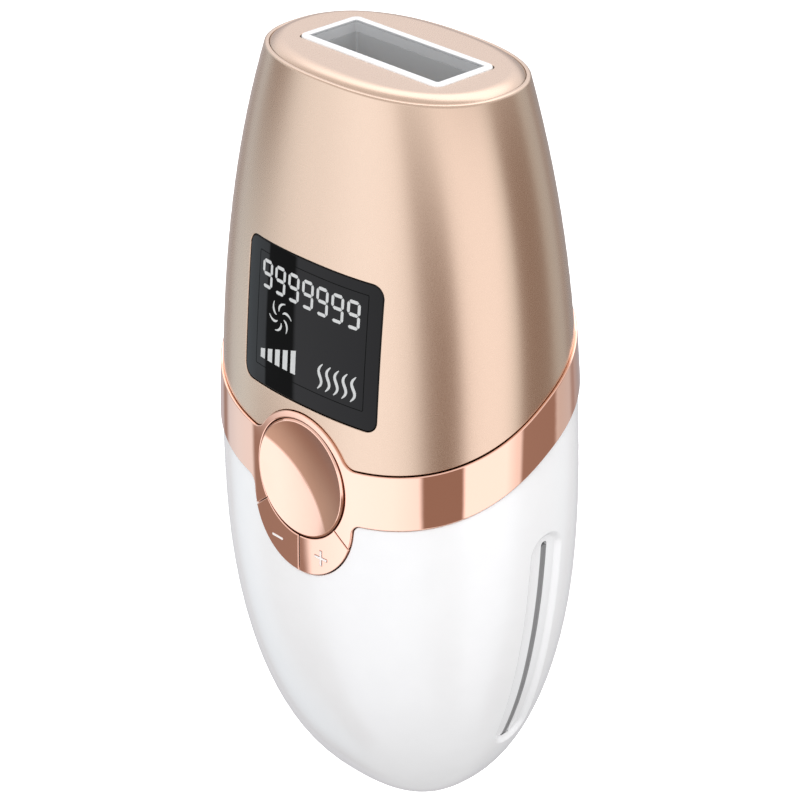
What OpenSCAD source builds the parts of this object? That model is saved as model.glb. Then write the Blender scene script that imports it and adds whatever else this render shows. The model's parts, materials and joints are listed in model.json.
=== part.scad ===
// Handheld pulsed-light hair remover: a tapered metallic sleeve over a white cup, joined by a mirror band
// that widens into a collar for the flash button and the two level keys. The lamp cartridge pulls out of the
// top. Millimetres. The origin is the bottom tip on the body's axis, +Z points to the lamp window, and the
// display and the buttons face -Y.

/* [Body] */
// Height of the seam between sleeve and cap
seam_z = 139.7; // [138.5:0.1:141]
// Half of the largest left-to-right size
half_w = 35.6; // [35:0.1:37]
// Half of the largest front-to-back size
half_d = 23.3; // [23:0.1:24.5]
// Half width of the sleeve at the cap seam
top_half_w = 25.2; // [24.8:0.1:26.5]
// Half depth of the sleeve at the cap seam
top_half_d = 16.3; // [16:0.1:17]
// Squareness of the cross-section, where 2 is an ellipse
squareness = 2.38; // [2.3:0.01:2.5]
// Thickness of the sleeve and cup walls
wall = 2; // [1.8:0.1:2.1]

/* [Cap and window] */
// Height of the cap's crown above the seam
cap_rise = 0.9; // [0.6:0.1:1.2]
// Half length of the light window
window_half_w = 14.95; // [14:0.05:15]
// Half width of the light window
window_half_d = 4.9; // [4.5:0.05:5]
// Width of the white rim around the window
rim_w = 1.85; // [1.6:0.05:1.9]

/* [Band and collar] */
// Height of the band's upper edge at the sides
band_top_z = 88.2; // [86:0.1:90]
// Height of the band's lower edge at the sides
band_bottom_z = 78.4; // [76:0.1:80]
// Rise of the band per millimetre towards the back
band_slope = 0.61; // [0.5:0.01:0.65]
// How far the band stands proud of the shells
band_proud = 0.45; // [0.3:0.05:0.6]
// Height of the collar's upper centre
collar_top_z = 69.1; // [68.5:0.1:70]
// Radius of the collar's upper arc
collar_top_r = 12.1; // [12:0.1:12.5]
// Height of the collar's lower centre
collar_low_z = 63.7; // [63:0.1:64.5]
// Radius of the collar's lower arc
collar_low_r = 12.4; // [12:0.1:12.6]

/* [Controls] */
// Radius of the flash button
button_r = 10.68; // [10:0.02:10.8]
// Travel of the flash button
button_travel = 0.6; // [0.3:0.1:0.8]
// Travel of a level key
key_travel = 0.4; // [0.2:0.1:0.5]
// Visible gap around a button
button_gap = 0.2; // [0.15:0.05:0.3]

/* [Display] */
// Half width of the display lens
lens_half_w = 16.4; // [15.5:0.1:17]
// Height of the lens's lower edge
lens_low_z = 82.6; // [82.4:0.1:83]
// Height of the lens's upper edge
lens_high_z = 108.7; // [108:0.1:109.5]
// Corner radius of the lens
lens_corner_r = 2.2; // [1.5:0.1:3]

/* [Vents and socket] */
// Half width of the recess around an air slot
recess_half_w = 3.65; // [3.2:0.05:4]
// Height of the recess's upper end
recess_high_z = 63.2; // [60:0.1:65]
// Height of the recess's lower end
recess_low_z = 17; // [15:0.1:20]
// How far behind the body's middle the air slots sit
vent_y = 1.5; // [0:0.1:2.2]
// Width of an air slot
slot_w = 1.1; // [0.9:0.1:1.4]
// Radius of the power socket's centre pin
jack_pin_r = 1; // [0.9:0.05:1.1]

/* [Hidden] */
$fn = 48;
sides = 48;
far = 60;
widest_z = 70;
deepest_z = 50;
tip_z = 0.2;
tip_power_w = 0.38;
tip_power_d = 0.437;
taper_power_w = 2.5;
taper_power_d = 1.82;
floor_blend_z = 30;
shell_gap = 0.2;
band_depth = 1;
top_fillet_r = 3.2;
low_fillet_r = 2;
strip_half_w = 22;
strip_rise = 30;
button_z = collar_top_z;
button_bore_r = button_r + button_gap;
button_tilt = 2.3;
key_top_deg = -39;
key_mark_x = 5.5;
key_z = 55.8;
key_gap = 0.15;
cap_half_w = top_half_w - 0.85;
cap_half_d = top_half_d - 0.85;
cap_low_z = seam_z - 1;
rim_top_z = seam_z + cap_rise + 0.3;
rim_low_z = seam_z - 1.1;
rim_gap = 0.2;
rim_half_w = window_half_w + rim_w;
rim_half_d = window_half_d + rim_w;
cart_half_w = rim_half_w - 0.35;
cart_half_d = rim_half_d - 0.35;
cart_low_z = 110;
socket_low_z = 106;
socket_floor_z = 108;
socket_high_z = rim_low_z - 0.2;
glass_z = 133.2;
lamp_z = 118.2;
lamp_r = 2.3;
lamp_half_l = 13.5;
contact_x = 10;
contact_r = 0.75;
contact_low_z = 101;
lens_back = 1.35;
gasket_y = -16.6;
lcd_y = -16;
backlight_y = -14.2;
board_y = -12.4;
board_t = 1.5;
chassis_y = -9.5;
chassis_t = 1.4;
main_y = 10;
post_low_z = 67;
post_high_z = 101.5;
post_x = 17.4;
cap_x = -9;
cap_y = 2.9;
cap_r = 9.8;
cap_can_low_z = 20;
cap_can_h = 42;
fan_x = 14.5;
fan_t = 7;
fan_z = 40;
fan_half = 12.5;
fan_ring_r = 11.6;
fan_axle_r = 0.75;
running_gap = 0.04;
jack_mouth_z = 1.2;
jack_r = 4;
jack_bore_r = 2.9;
jack_floor_z = 10.9;
jack_high_z = 13;
pin_low_z = 2.4;
pin_high_z = 10.4;
pin_tail_r = 0.7;
strap_t = 1;
strap_low_z = 54.6;
strap_h = 5.4;
sink_half_w = 13.6;
sink_half_d = 5.2;
fuse_r = 1.4;
recess_depth = 0.9;
fan_hole = 10.6;
boss_r = 2;
switch_half = 3;
switch_h = 3.2;
plunger_r = 1.7;
plunger_h = 0.9;
contact_gap = 0.05;
insert_half_w = slot_w / 2;

// Share of the way from a to b
function between(a, b, t) = a + (b - a) * t;

// A power that keeps the sign of its base
function signed_power(v, p) = sign(v) * pow(abs(v), p);

// Growth of the half width and half depth from the rounded tip up to the widest level
function tip_curve(z, level, p) = pow(max(0, 1 - pow((level - z) / level, 2)), p);

// Half width of the body at height z
function half_w_at(z) = z < widest_z
    ? half_w * tip_curve(max(z, tip_z), widest_z, tip_power_w)
    : half_w - (half_w - top_half_w) * pow((z - widest_z) / (seam_z - widest_z), taper_power_w);

// Half depth of the body at height z
function half_d_at(z) = z < deepest_z
    ? half_d * tip_curve(max(z, tip_z), deepest_z, tip_power_d)
    : half_d - (half_d - top_half_d) * pow((z - deepest_z) / (seam_z - deepest_z), taper_power_d);

// An inward offset also lifts the section near the tip, so that the floor keeps its thickness
function lifted(z, off) = z + off * max(0, 1 - z / floor_blend_z);

// Half sizes of the offset section
function grown_w(z, off) = half_w_at(lifted(z, off)) + off;
function grown_d(z, off) = half_d_at(lifted(z, off)) + off;

// Front surface's y at a given x and height
function front_y(x, z, off) = -grown_d(z, off)
    * pow(max(0, 1 - pow(min(1, abs(x) / grown_w(z, off)), squareness)), 1 / squareness);

// Side surface's x at a given y and height
function side_x(y, z, off) = grown_w(z, off)
    * pow(max(0, 1 - pow(min(1, abs(y) / grown_d(z, off)), squareness)), 1 / squareness);

// One ring of points around a superellipse
function ring_points(w, d, z) = [
    for (i = [0:sides - 1])
        let (t = 360 * i / sides)
        [w * signed_power(cos(t), 2 / squareness), d * signed_power(sin(t), 2 / squareness), z]
];

// Heights from low to high, closer together near the low end where bunch is above 1
function levels(low, high, count, bunch) = [
    for (k = [0:count]) between(low, high, pow(k / count, bunch))
];

// Quads of a closed skin over a stack of rings
function skin_faces(rings, n) = [
    for (k = [0:rings - 2])
        for (i = [0:n - 1])
            for (f = [
                [k * n + i, (k + 1) * n + i, (k + 1) * n + (i + 1) % n],
                [k * n + i, (k + 1) * n + (i + 1) % n, k * n + (i + 1) % n]
            ])
                f
];

// A closed solid over a stack of equal rings
module skin(rings) {
    n = len(rings[0]);
    last = (len(rings) - 1) * n;
    points = [for (ring = rings) each ring];
    floor_face = [for (i = [0:n - 1]) i];
    roof_face = [for (i = [n - 1:-1:0]) last + i];
    polyhedron(points, concat([floor_face], skin_faces(len(rings), n), [roof_face]), convexity = 4);
}

// The body's outline between two heights, offset outwards by off
module body_solid(low, high, count, bunch, off) {
    skin([for (z = levels(low, high, count, bunch)) ring_points(grown_w(z, off), grown_d(z, off), z)]);
}

// A rounded rectangle about the origin
module rounded_rect(w, d, r) {
    hull() {
        for (x = [-w + r, w - r]) {
            for (y = [-d + r, d - r]) {
                translate([x, y]) circle(r, $fn = 32);
            }
        }
    }
}

// A plate standing in the XZ plane, from y to y + t
module upright(y, t) {
    translate([0, y + t, 0]) rotate([90, 0, 0]) linear_extrude(t) children();
}

// A cylinder along Y, from y to y + t
module y_cylinder(x, y, z, r, t) {
    translate([x, y, z]) rotate([-90, 0, 0]) cylinder(r = r, h = t);
}

// Front view of the collar around the flash button
module collar_outline() {
    hull() {
        translate([0, collar_top_z]) circle(collar_top_r);
        translate([0, collar_low_z]) circle(collar_low_r);
    }
}

// Height of a tilted edge that leaves z0 at the sides, as seen from the front near the collar
function edge_z(x, z0) = z0 + band_slope * front_y(x, z0 + band_slope * front_y(x, z0, 0), 0);

// Front view of the collar with part of the band's edge beside it, to one side of that edge
module edge_strip(z0, up) {
    reach = up ? strip_rise : -strip_rise;
    steps = 12;
    xs = [for (i = [0:steps]) between(-strip_half_w, strip_half_w, i / steps)];
    polygon(concat(
        [for (x = xs) [x, edge_z(x, z0)]],
        [[strip_half_w, z0 - half_d + reach], [-strip_half_w, z0 - half_d + reach]]
    ));
}

// Front view of the collar joined to an edge, with the hollow corners rounded, then grown outwards
module collar_zone(z0, up, corner_r, grow) {
    intersection() {
        offset(r = grow - corner_r) offset(delta = corner_r) {
            edge_strip(z0, up);
            collar_outline();
        }
        translate([0, z0 - half_d]) square([2 * (strip_half_w - 2), 3 * strip_rise], center = true);
    }
}

// Half space below or above a tilted edge, seen from the side
module tilted_zone(z0, up, grow) {
    reach = up ? far * 3 : -far;
    rise = up ? -grow : grow;
    drop = band_slope * far;
    translate([-far, 0, 0]) rotate([90, 0, 90]) linear_extrude(2 * far)
        polygon([[-far, z0 + rise - drop], [far, z0 + rise + drop], [far, reach], [-far, reach]]);
}

// Everything below the band's upper edge
module below_band_top(grow) {
    upright(-far, far) collar_zone(band_top_z, false, top_fillet_r, grow);
    tilted_zone(band_top_z, false, grow);
}

// Everything above the band's lower edge
module above_band_bottom(grow) {
    upright(-far, far) collar_zone(band_bottom_z, true, low_fillet_r, grow);
    tilted_zone(band_bottom_z, true, grow);
}

// A short stiffening rib on the inside of a wall, at an angle around the axis
module rib(angle, low, high) {
    hull() {
        for (z = [low, high]) {
            at = [
                (grown_w(z, -wall - 0.1)) * signed_power(cos(angle), 2 / squareness),
                (grown_d(z, -wall - 0.1)) * signed_power(sin(angle), 2 / squareness),
                z
            ];
            translate(at) rotate([0, 0, angle]) cube([1.6, 1, 0.5], center = true);
        }
    }
}

module ribs(angles, low, high) {
    for (angle = angles) {
        rib(angle, low, high);
    }
}

// Front view of the lens opening
module lens_outline(grow) {
    translate([0, (lens_low_z + lens_high_z) / 2])
        rounded_rect(lens_half_w + grow, (lens_high_z - lens_low_z) / 2 + grow, lens_corner_r + grow);
}

// Sleeve: tapered wall with a rounded upper lip, a lens window and eight ribs
module upper_shell() {
    lip = 0.5;
    color("burlywood") {
        difference() {
            union() {
                difference() {
                    union() {
                        body_solid(50, seam_z - lip, 15, 1, 0);
                        skin([
                            ring_points(grown_w(seam_z - lip, 0), grown_d(seam_z - lip, 0), seam_z - lip),
                            ring_points(cap_half_w + lip, cap_half_d + lip, seam_z)
                        ]);
                    }
                    body_solid(49, seam_z + 1, 15, 1, -wall);
                }
                ribs([14, 42, 68, 112, 138, 166, 196, 344], 104, 130);
            }
            below_band_top(shell_gap);
            upright(-far, far) lens_outline(0.1);
            translate([0, 0, cap_low_z - 0.1])
                skin([for (z = [0, 3]) ring_points(cap_half_w + 0.15, cap_half_d + 0.15, z)]);
        }
    }
}

// Cap: crowned plate with the cartridge opening
module top_cap() {
    crown = 3.4;
    color("burlywood") {
        difference() {
            union() {
                skin(concat(
                    [ring_points(cap_half_w, cap_half_d, cap_low_z)],
                    [for (t = [0:15:90])
                        ring_points(
                            cap_half_w - crown * (1 - cos(t)),
                            cap_half_d - crown * (1 - cos(t)),
                            seam_z - 0.1 + (cap_rise + 0.1) * sin(t)
                        )
                    ]
                ));
            }
            translate([0, 0, cap_low_z - 1]) linear_extrude(4)
                rounded_rect(rim_half_w + rim_gap, rim_half_d + rim_gap, 1.7);
        }
    }
}

// Front view of the sector that a key takes up, from the centre line up to a slanted side
module key_sector(side, grow) {
    near = side * (key_gap / 2 - grow);
    rise = grow / cos(key_top_deg);
    translate([0, button_z]) polygon([
        [near, rise],
        [near, -far],
        [side * far, -far],
        [side * far, far * tan(key_top_deg) + rise]
    ]);
}

// Tapered locating pegs behind the collar, around the flash button
module ring_pegs() {
    peg_ring_r = (button_bore_r + collar_top_r) / 2;
    for (angle = [18, 66, 114, 162]) {
        x = peg_ring_r * cos(angle);
        z = button_z + peg_ring_r * sin(angle);
        root_y = front_y(x, z, -band_depth) - 0.3;
        hull() {
            y_cylinder(x, root_y, z, 0.5, 0.2);
            y_cylinder(x, root_y + 2.2, z, 0.35, 0.2);
        }
    }
}

// Mirror band with its collar, the button bore and the gap for the keys
module trim_ring() {
    color("sandybrown") {
        difference() {
            intersection() {
                difference() {
                    body_solid(48, 108, 14, 1, band_proud);
                    body_solid(47, 109, 14, 1, -band_depth);
                }
                below_band_top(0);
                above_band_bottom(0);
            }
            y_cylinder(0, -far, button_z, button_bore_r, far);
            upright(-far, far) {
                key_sector(1, key_gap);
                key_sector(-1, key_gap);
            }
        }
        ring_pegs();
    }
}

// A shallow pocket over an air slot, seen from the side
module recess_outline() {
    hull() {
        for (z = [recess_high_z - recess_half_w, recess_low_z + recess_half_w]) {
            translate([0, z]) circle(recess_half_w, $fn = 32);
        }
    }
}

module slot_outline(half) {
    hull() {
        for (z = [recess_high_z - 3, recess_low_z + 1.5]) {
            translate([0, z]) circle(half, $fn = 32);
        }
    }
}

// A cutter that reaches the +X wall or the -X wall
module side_cut(side) {
    rotate([90, 0, 90 * side]) linear_extrude(far) children();
}

// Screw bosses for the fan on the inside of the +X wall
module fan_bosses() {
    for (y = [-fan_hole, fan_hole]) {
        for (z = [fan_z - fan_hole, fan_z + fan_hole]) {
            length = side_x(abs(y) + boss_r, z - boss_r, -0.6) - fan_x - fan_t;
            translate([fan_x + fan_t, y, z]) rotate([0, 90, 0]) difference() {
                cylinder(r = boss_r, h = length, $fn = 16);
                translate([0, 0, -1]) cylinder(r = 0.95, h = 3.6, $fn = 16);
            }
        }
    }
}

// Cup: white lower wall with a tongue behind the band, air slots, the power socket's hole and ribs
module lower_shell() {
    tongue_off = -band_depth - 0.15;
    tongue_drop = 1;
    color("white") {
        difference() {
            union() {
                difference() {
                    body_solid(0, 94, 18, 1.7, 0);
                    above_band_bottom(shell_gap);
                }
                difference() {
                    body_solid(45, 104, 8, 1, tongue_off);
                    tilted_zone(band_top_z - tongue_drop, true, 0);
                }
            }
            body_solid(wall, 105, 18, 1.7, -wall - 0.3);
            y_cylinder(0, -far, button_z, collar_top_r + 0.2, far);
            upright(-far, far) translate([0, collar_low_z]) circle(collar_low_r + 0.2);
            for (side = [-1, 1]) {
                difference() {
                    side_cut(side) translate([side * vent_y, 0]) recess_outline();
                    body_solid(0, 80, 12, 1.5, -recess_depth);
                }
                side_cut(side) translate([side * vent_y, 0]) slot_outline(insert_half_w + 0.1);
            }
            cylinder(r = jack_r + 0.15, h = 14);
        }
        ribs([30, 60, 90, 120, 150], 24, 46);
        fan_bosses();
    }
}

// Curved glossy window over the display
module display_lens() {
    color("black") {
        intersection() {
            difference() {
                body_solid(80, 111, 6, 1, -0.1);
                body_solid(79, 112, 6, 1, -lens_back);
            }
            upright(-far, far) lens_outline(0);
        }
    }
}

// Flat foam frame between lens and display
module display_gasket() {
    color("dimgray") {
        upright(gasket_y, 0.5) difference() {
            translate([0, 95.6]) square([30, 23], center = true);
            translate([0, 95.6]) square([27, 20], center = true);
        }
    }
}

module lcd_module() {
    color("darkslategray") {
        upright(lcd_y, 1.7) translate([0, 95.6]) square([29.6, 22.6], center = true);
        upright(lcd_y + 0.4, 1.3) translate([0, 83.2]) square([22, 2.2], center = true);
    }
}

// Light guide with two lamps' pockets on its lower edge
module lcd_backlight() {
    color("whitesmoke") {
        upright(backlight_y, 1.7) difference() {
            translate([0, 95.6]) square([29.6, 22.6], center = true);
            for (x = [-8, 8]) {
                translate([x, 84.4]) square([3, 1.6], center = true);
            }
        }
    }
}

// Board behind the display and the switches
module control_pcb() {
    color("darkgreen") {
        upright(board_y, board_t) difference() {
            hull() {
                translate([0, 95]) square([33, 27], center = true);
                translate([0, 54]) square([24, 6], center = true);
            }
            for (x = [-13, 13]) {
                translate([x, 76.5]) circle(1.1);
            }
            for (x = [-9.6, 9.6]) {
                translate([x, 62]) circle(1.1);
            }
        }
    }
}

// A pan-head screw along Y, its head on the side that dir points away from
module y_screw(x, y, z, length, dir) {
    translate([x, y, z]) rotate([-90 * dir, 0, 0]) {
        cylinder(r = 0.8, h = length);
        translate([0, 0, -1]) difference() {
            cylinder(r = 1.6, h = 1);
            translate([0, 0, 0.25]) cube([0.5, 2.2, 0.6], center = true);
            translate([0, 0, 0.25]) cube([2.2, 0.5, 0.6], center = true);
        }
    }
}

module control_screws() {
    color("silver") {
        for (x = [-13, 13]) {
            y_screw(x, board_y, 76.5, 4.6, 1);
        }
        for (x = [-9.6, 9.6]) {
            y_screw(x, board_y, 62, 4.6, 1);
        }
    }
}

// Round sounder on the back of the control board
module buzzer() {
    color("black") {
        translate([0, board_y + board_t, 92]) rotate([-90, 0, 0]) difference() {
            cylinder(r = 4, h = 1.2);
            translate([0, 0, 0.6]) cylinder(r = 0.8, h = 2);
        }
    }
}

// Metal-framed switch on the front of the control board
module tact_switch(x, z) {
    upright(board_y - switch_h, switch_h) difference() {
        translate([x, z]) square(2 * switch_half, center = true);
        translate([x, z]) circle(plunger_r + running_gap);
    }
    upright(board_y - 0.6, 0.6) translate([x, z]) circle(plunger_r + 0.4);
}

module flash_switch() {
    color("slategray") tact_switch(0, button_z);
}

module minus_switch() {
    color("slategray") tact_switch(-key_mark_x, key_z);
}

module plus_switch() {
    color("slategray") tact_switch(key_mark_x, key_z);
}

// Plunger of a switch; travel is the room left under it
module tact_plunger(x, z, travel) {
    low = board_y - switch_h - plunger_h;
    y_cylinder(x, low, z, plunger_r, plunger_h + switch_h - 0.6 - travel - 0.1);
}

module flash_plunger() {
    color("black") tact_plunger(0, button_z, button_travel);
}

module minus_plunger() {
    color("black") tact_plunger(-key_mark_x, key_z, key_travel);
}

module plus_plunger() {
    color("black") tact_plunger(key_mark_x, key_z, key_travel);
}

plunger_tip_y = board_y - switch_h - plunger_h;
button_face_y = front_y(0, button_z, band_proud) + 0.1;

// Dished mirror disc with a chamfered rim, tilted to follow the front
module flash_button() {
    dish_depth = 1.3;
    dish_r = (pow(button_r - 0.5, 2) + pow(dish_depth, 2)) / (2 * dish_depth);
    color("sandybrown") {
        translate([0, button_face_y, button_z]) rotate([-90 - button_tilt, 0, 0]) difference() {
            union() {
                translate([0, 0, 0.25]) cylinder(r = button_r, h = 2.15);
                cylinder(r1 = button_r - 0.25, r2 = button_r, h = 0.25);
            }
            translate([0, 0, dish_depth - dish_r]) sphere(dish_r, $fn = 160);
        }
    }
}

// Post that carries the press from the disc to the switch
module button_stem() {
    stem_y = button_face_y + 2;
    color("lightgray") {
        y_cylinder(0, stem_y, button_z, 3, plunger_tip_y - contact_gap - stem_y);
        y_cylinder(0, stem_y + 0.9, button_z, 6.5, 0.8);
    }
}

// One level key: a slice of the collar with a post behind it
module level_key(side) {
    post_y = front_y(key_mark_x, key_z, 0) + 1;
    intersection() {
        difference() {
            body_solid(48, 66, 4, 1, band_proud);
            body_solid(47, 67, 4, 1, -band_depth - 0.2);
        }
        upright(-far, far) difference() {
            intersection() {
                key_sector(side, 0);
                collar_outline();
            }
            translate([0, button_z]) circle(button_bore_r);
        }
    }
    y_cylinder(side * key_mark_x, post_y, key_z, 1.6, plunger_tip_y - contact_gap - post_y);
}

module minus_key() {
    color("sandybrown") level_key(-1);
}

module plus_key() {
    color("sandybrown") level_key(1);
}

// Skeleton: front plate with spacers for the control board and four posts for the power board
module chassis() {
    color("gainsboro") {
        difference() {
            union() {
                upright(chassis_y, chassis_t) {
                    difference() {
                        union() {
                            translate([0, 84]) square([40, 41], center = true);
                            translate([0, 60]) square([30, 12], center = true);
                        }
                        translate([0, 94]) square([22, 10], center = true);
                        translate([0, 70]) square([14, 8], center = true);
                    }
                }
                for (x = [-13, 13]) {
                    y_cylinder(x, board_y + board_t, 76.5, 2.2, chassis_y - board_y - board_t);
                }
                for (x = [-9.6, 9.6]) {
                    y_cylinder(x, board_y + board_t, 62, 2.2, chassis_y - board_y - board_t);
                }
                for (x = [-post_x, post_x]) {
                    for (z = [post_low_z, post_high_z]) {
                        y_cylinder(x, chassis_y + chassis_t, z, 2.4, main_y - chassis_y - chassis_t);
                    }
                }
            }
            for (x = [-13, 13]) {
                y_cylinder(x, board_y, 76.5, 0.85, 8);
            }
            for (x = [-9.6, 9.6]) {
                y_cylinder(x, board_y, 62, 0.85, 8);
            }
            for (x = [-post_x, post_x]) {
                for (z = [post_low_z, post_high_z]) {
                    y_cylinder(x, main_y - 8, z, 0.85, 9);
                }
            }
        }
    }
}

module main_pcb() {
    color("darkgreen") {
        upright(main_y, 1.6) difference() {
            translate([0, 84.3]) square([40, 40], center = true);
            for (x = [-post_x, post_x]) {
                for (z = [post_low_z, post_high_z]) {
                    translate([x, z]) circle(1.1);
                }
            }
        }
    }
}

module board_screws() {
    color("silver") {
        for (x = [-post_x, post_x]) {
            for (z = [post_low_z, post_high_z]) {
                y_screw(x, main_y + 1.6, z, 6.5, -1);
            }
        }
    }
}

// Ferrite core around a taped winding
module transformer(x, y, z, w, d, h) {
    translate([x, y, z]) {
        difference() {
            translate([-w / 2, -d, 0]) cube([w, d, h]);
            translate([-w / 2 - 1, -d + d * 0.2, h * 0.22]) cube([w * 0.2 + 1, d * 0.6, h * 0.56]);
            translate([w / 2 - w * 0.2, -d + d * 0.2, h * 0.22]) cube([w * 0.2 + 1, d * 0.6, h * 0.56]);
        }
    }
}

module boost_transformer() {
    color("dimgray") transformer(6, main_y, 66, 16, 13, 15);
}

// Power transistor with its tab and three legs
module power_transistor() {
    color("black") {
        translate([-16, main_y - 4.4, 84]) difference() {
            union() {
                cube([9, 4.4, 8]);
                translate([0, 3.1, 8]) cube([9, 1.3, 5]);
                for (i = [0:2]) {
                    translate([1.5 + 2.54 * i, 2, -4]) cube([0.8, 0.6, 4]);
                }
            }
            translate([4.5, 0, 10.8]) rotate([-90, 0, 0]) cylinder(r = 1.5, h = 6);
        }
    }
}

module trigger_transformer() {
    color("goldenrod") {
        translate([-9.8, 4, 66]) difference() {
            cylinder(r = 4.5, h = 13);
            translate([0, 0, 12]) cylinder(r = 1.5, h = 2);
        }
    }
}

// Flash capacitor: sleeved can with a crimp groove, a vent cross and two studs
module flash_capacitor() {
    color("midnightblue") {
        translate([cap_x, cap_y, cap_can_low_z]) {
            difference() {
                cylinder(r = cap_r, h = cap_can_h);
                translate([0, 0, 3.2]) rotate_extrude() translate([cap_r + 0.3, 0]) circle(0.8);
                translate([0, 0, cap_can_h - 0.2]) cube([12, 0.5, 0.8], center = true);
                translate([0, 0, cap_can_h - 0.2]) cube([0.5, 12, 0.8], center = true);
            }
            for (x = [-3.7, 3.7]) {
                translate([x, 0, -2]) cylinder(r = 0.8, h = 2);
            }
        }
    }
}

// Split clamp that hangs the capacitor on the skeleton
module capacitor_strap() {
    color("gainsboro") {
        difference() {
            union() {
                translate([cap_x, cap_y, strap_low_z]) cylinder(r = cap_r + strap_t, h = strap_h);
                translate([cap_x - 5, chassis_y + chassis_t, strap_low_z]) cube([10, 3.4, strap_h]);
            }
            translate([cap_x, cap_y, strap_low_z - 1]) cylinder(r = cap_r + 0.1, h = strap_h + 2);
            translate([cap_x - 1, cap_y, strap_low_z - 1]) cube([2, far, strap_h + 2]);
        }
    }
}

// A cylinder along X, from x to x + t
module x_cylinder(x, r, t) {
    translate([x, 0, fan_z]) rotate([0, 90, 0]) cylinder(r = r, h = t);
}

// Axial fan frame with three arms and a bearing tube
module fan_housing() {
    color("black") {
        difference() {
            union() {
                difference() {
                    translate([fan_x, -fan_half, fan_z - fan_half])
                        cube([fan_t, 2 * fan_half, 2 * fan_half]);
                    x_cylinder(fan_x - 1, fan_ring_r, fan_t + 2);
                }
                for (a = [30, 150, 270]) {
                    translate([fan_x, 0, fan_z]) rotate([a, 0, 0]) translate([0, -0.9, 1.8])
                        cube([1.1, 1.8, fan_ring_r - 1]);
                }
                x_cylinder(fan_x, 4.4, 1.1);
                x_cylinder(fan_x, 1.8, fan_t - 2);
            }
            x_cylinder(fan_x + 0.5, fan_axle_r + running_gap, fan_t);
            for (y = [-1, 1]) {
                for (z = [-1, 1]) {
                    translate([0, y * fan_hole, z * fan_hole]) x_cylinder(fan_x - 1, 1.1, fan_t + 2);
                }
            }
        }
    }
}

// Fan rotor: cup, seven pitched blades and its axle
module fan_rotor() {
    blades = 7;
    color("black") {
        difference() {
            x_cylinder(fan_x + 1.6, 5.6, 4.9);
            x_cylinder(fan_x + 1, 4.6, 4.6);
        }
        x_cylinder(fan_x + 0.7, fan_axle_r, 5);
        for (i = [0:blades - 1]) {
            translate([fan_x + 4, 0, fan_z]) rotate([i * 360 / blades, 0, 0])
                translate([0, 0, 5.3]) rotate([0, 0, 38]) translate([-2.7, -0.35, 0]) cube([5.4, 0.7, 5.6]);
        }
    }
}

module fan_screws() {
    color("silver") {
        for (y = [-1, 1]) {
            for (z = [-1, 1]) {
                translate([fan_x, y * fan_hole, fan_z + z * fan_hole]) rotate([0, 90, 0]) {
                    cylinder(r = 0.9, h = fan_t + 1.4);
                    translate([0, 0, -1.1]) cylinder(r = 1.8, h = 1.1);
                }
            }
        }
    }
}

// Dark slotted insert clipped behind an air slot: a strip that follows the wall, in straight runs
module vent_insert(side) {
    low = recess_low_z + 1.5;
    high = recess_high_z - 3;
    inner = -wall - 1.3;
    outer = -recess_depth - 0.1;
    count = 7;
    zs = levels(low, high, count, 1);
    rings = [
        for (z = zs)
            [for (p = [[inner, -1], [outer, -1], [outer, 1], [inner, 1]])
                [side_x(vent_y, z, p[0]), vent_y + p[1] * insert_half_w, z]]
    ];
    mirror([side < 0 ? 1 : 0, 0, 0]) difference() {
        skin(rings);
        translate([0, vent_y - slot_w / 6, low + 3]) cube([far, slot_w / 3, high - low - 6]);
    }
}

module vent_insert_left() {
    color("dimgray") vent_insert(-1);
}

module vent_insert_right() {
    color("dimgray") vent_insert(1);
}

// Power socket barrel at the bottom tip
module dc_jack() {
    color("black") {
        difference() {
            union() {
                translate([0, 0, jack_mouth_z]) cylinder(r = jack_r, h = jack_high_z - jack_mouth_z);
                translate([0, 0, 5.2]) cylinder(r = jack_r + 1.6, h = 1.6);
            }
            cylinder(r = jack_bore_r, h = jack_floor_z);
            cylinder(r = pin_tail_r + 0.02, h = jack_high_z + 1);
        }
    }
}

// Centre pin with a thinner tail through the barrel's floor
module jack_pin() {
    color("silver") {
        translate([0, 0, pin_low_z]) cylinder(r = jack_pin_r, h = pin_high_z - pin_low_z);
        translate([0, 0, pin_high_z - 0.1]) cylinder(r = pin_tail_r, h = jack_high_z + 1.8 - pin_high_z);
    }
}

// Finned block under the cartridge socket
module heatsink() {
    fins = 8;
    color("silver") {
        translate([-sink_half_w, -sink_half_d, 97.4]) cube([2 * sink_half_w, 2 * sink_half_d, 2.4]);
        for (i = [0:fins - 1]) {
            x = between(-sink_half_w, sink_half_w - 1, i / (fins - 1));
            translate([x, -sink_half_d, 88]) cube([1, 2 * sink_half_d, 9.4]);
        }
    }
}

// Guide sleeve for the cartridge, with a floor and two contact holes
module cartridge_socket() {
    outer_w = cart_half_w + 1.7;
    outer_d = cart_half_d + 1.5;
    color("whitesmoke") {
        difference() {
            translate([-outer_w, -outer_d, socket_low_z])
                cube([2 * outer_w, 2 * outer_d, socket_high_z - socket_low_z]);
            translate([-cart_half_w - 0.2, -cart_half_d - 0.2, socket_floor_z])
                cube([2 * cart_half_w + 0.4, 2 * cart_half_d + 0.4, far]);
            for (x = [-contact_x, contact_x]) {
                translate([x, 0, socket_low_z - 1]) cylinder(r = 1.55, h = 4);
            }
        }
    }
}

module socket_contacts() {
    color("gold") {
        for (x = [-contact_x, contact_x]) {
            translate([x, 0, 0]) difference() {
                translate([0, 0, contact_low_z - 0.7]) cylinder(r = 1.5, h = 7.6);
                translate([0, 0, contact_low_z - 0.2]) cylinder(r = contact_r + running_gap, h = 9);
            }
        }
    }
}

module thermal_fuse() {
    color("ivory") {
        translate([-4, -sink_half_d - fuse_r - 0.05, 93]) rotate([0, 90, 0]) cylinder(r = fuse_r, h = 8);
    }
}

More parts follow.
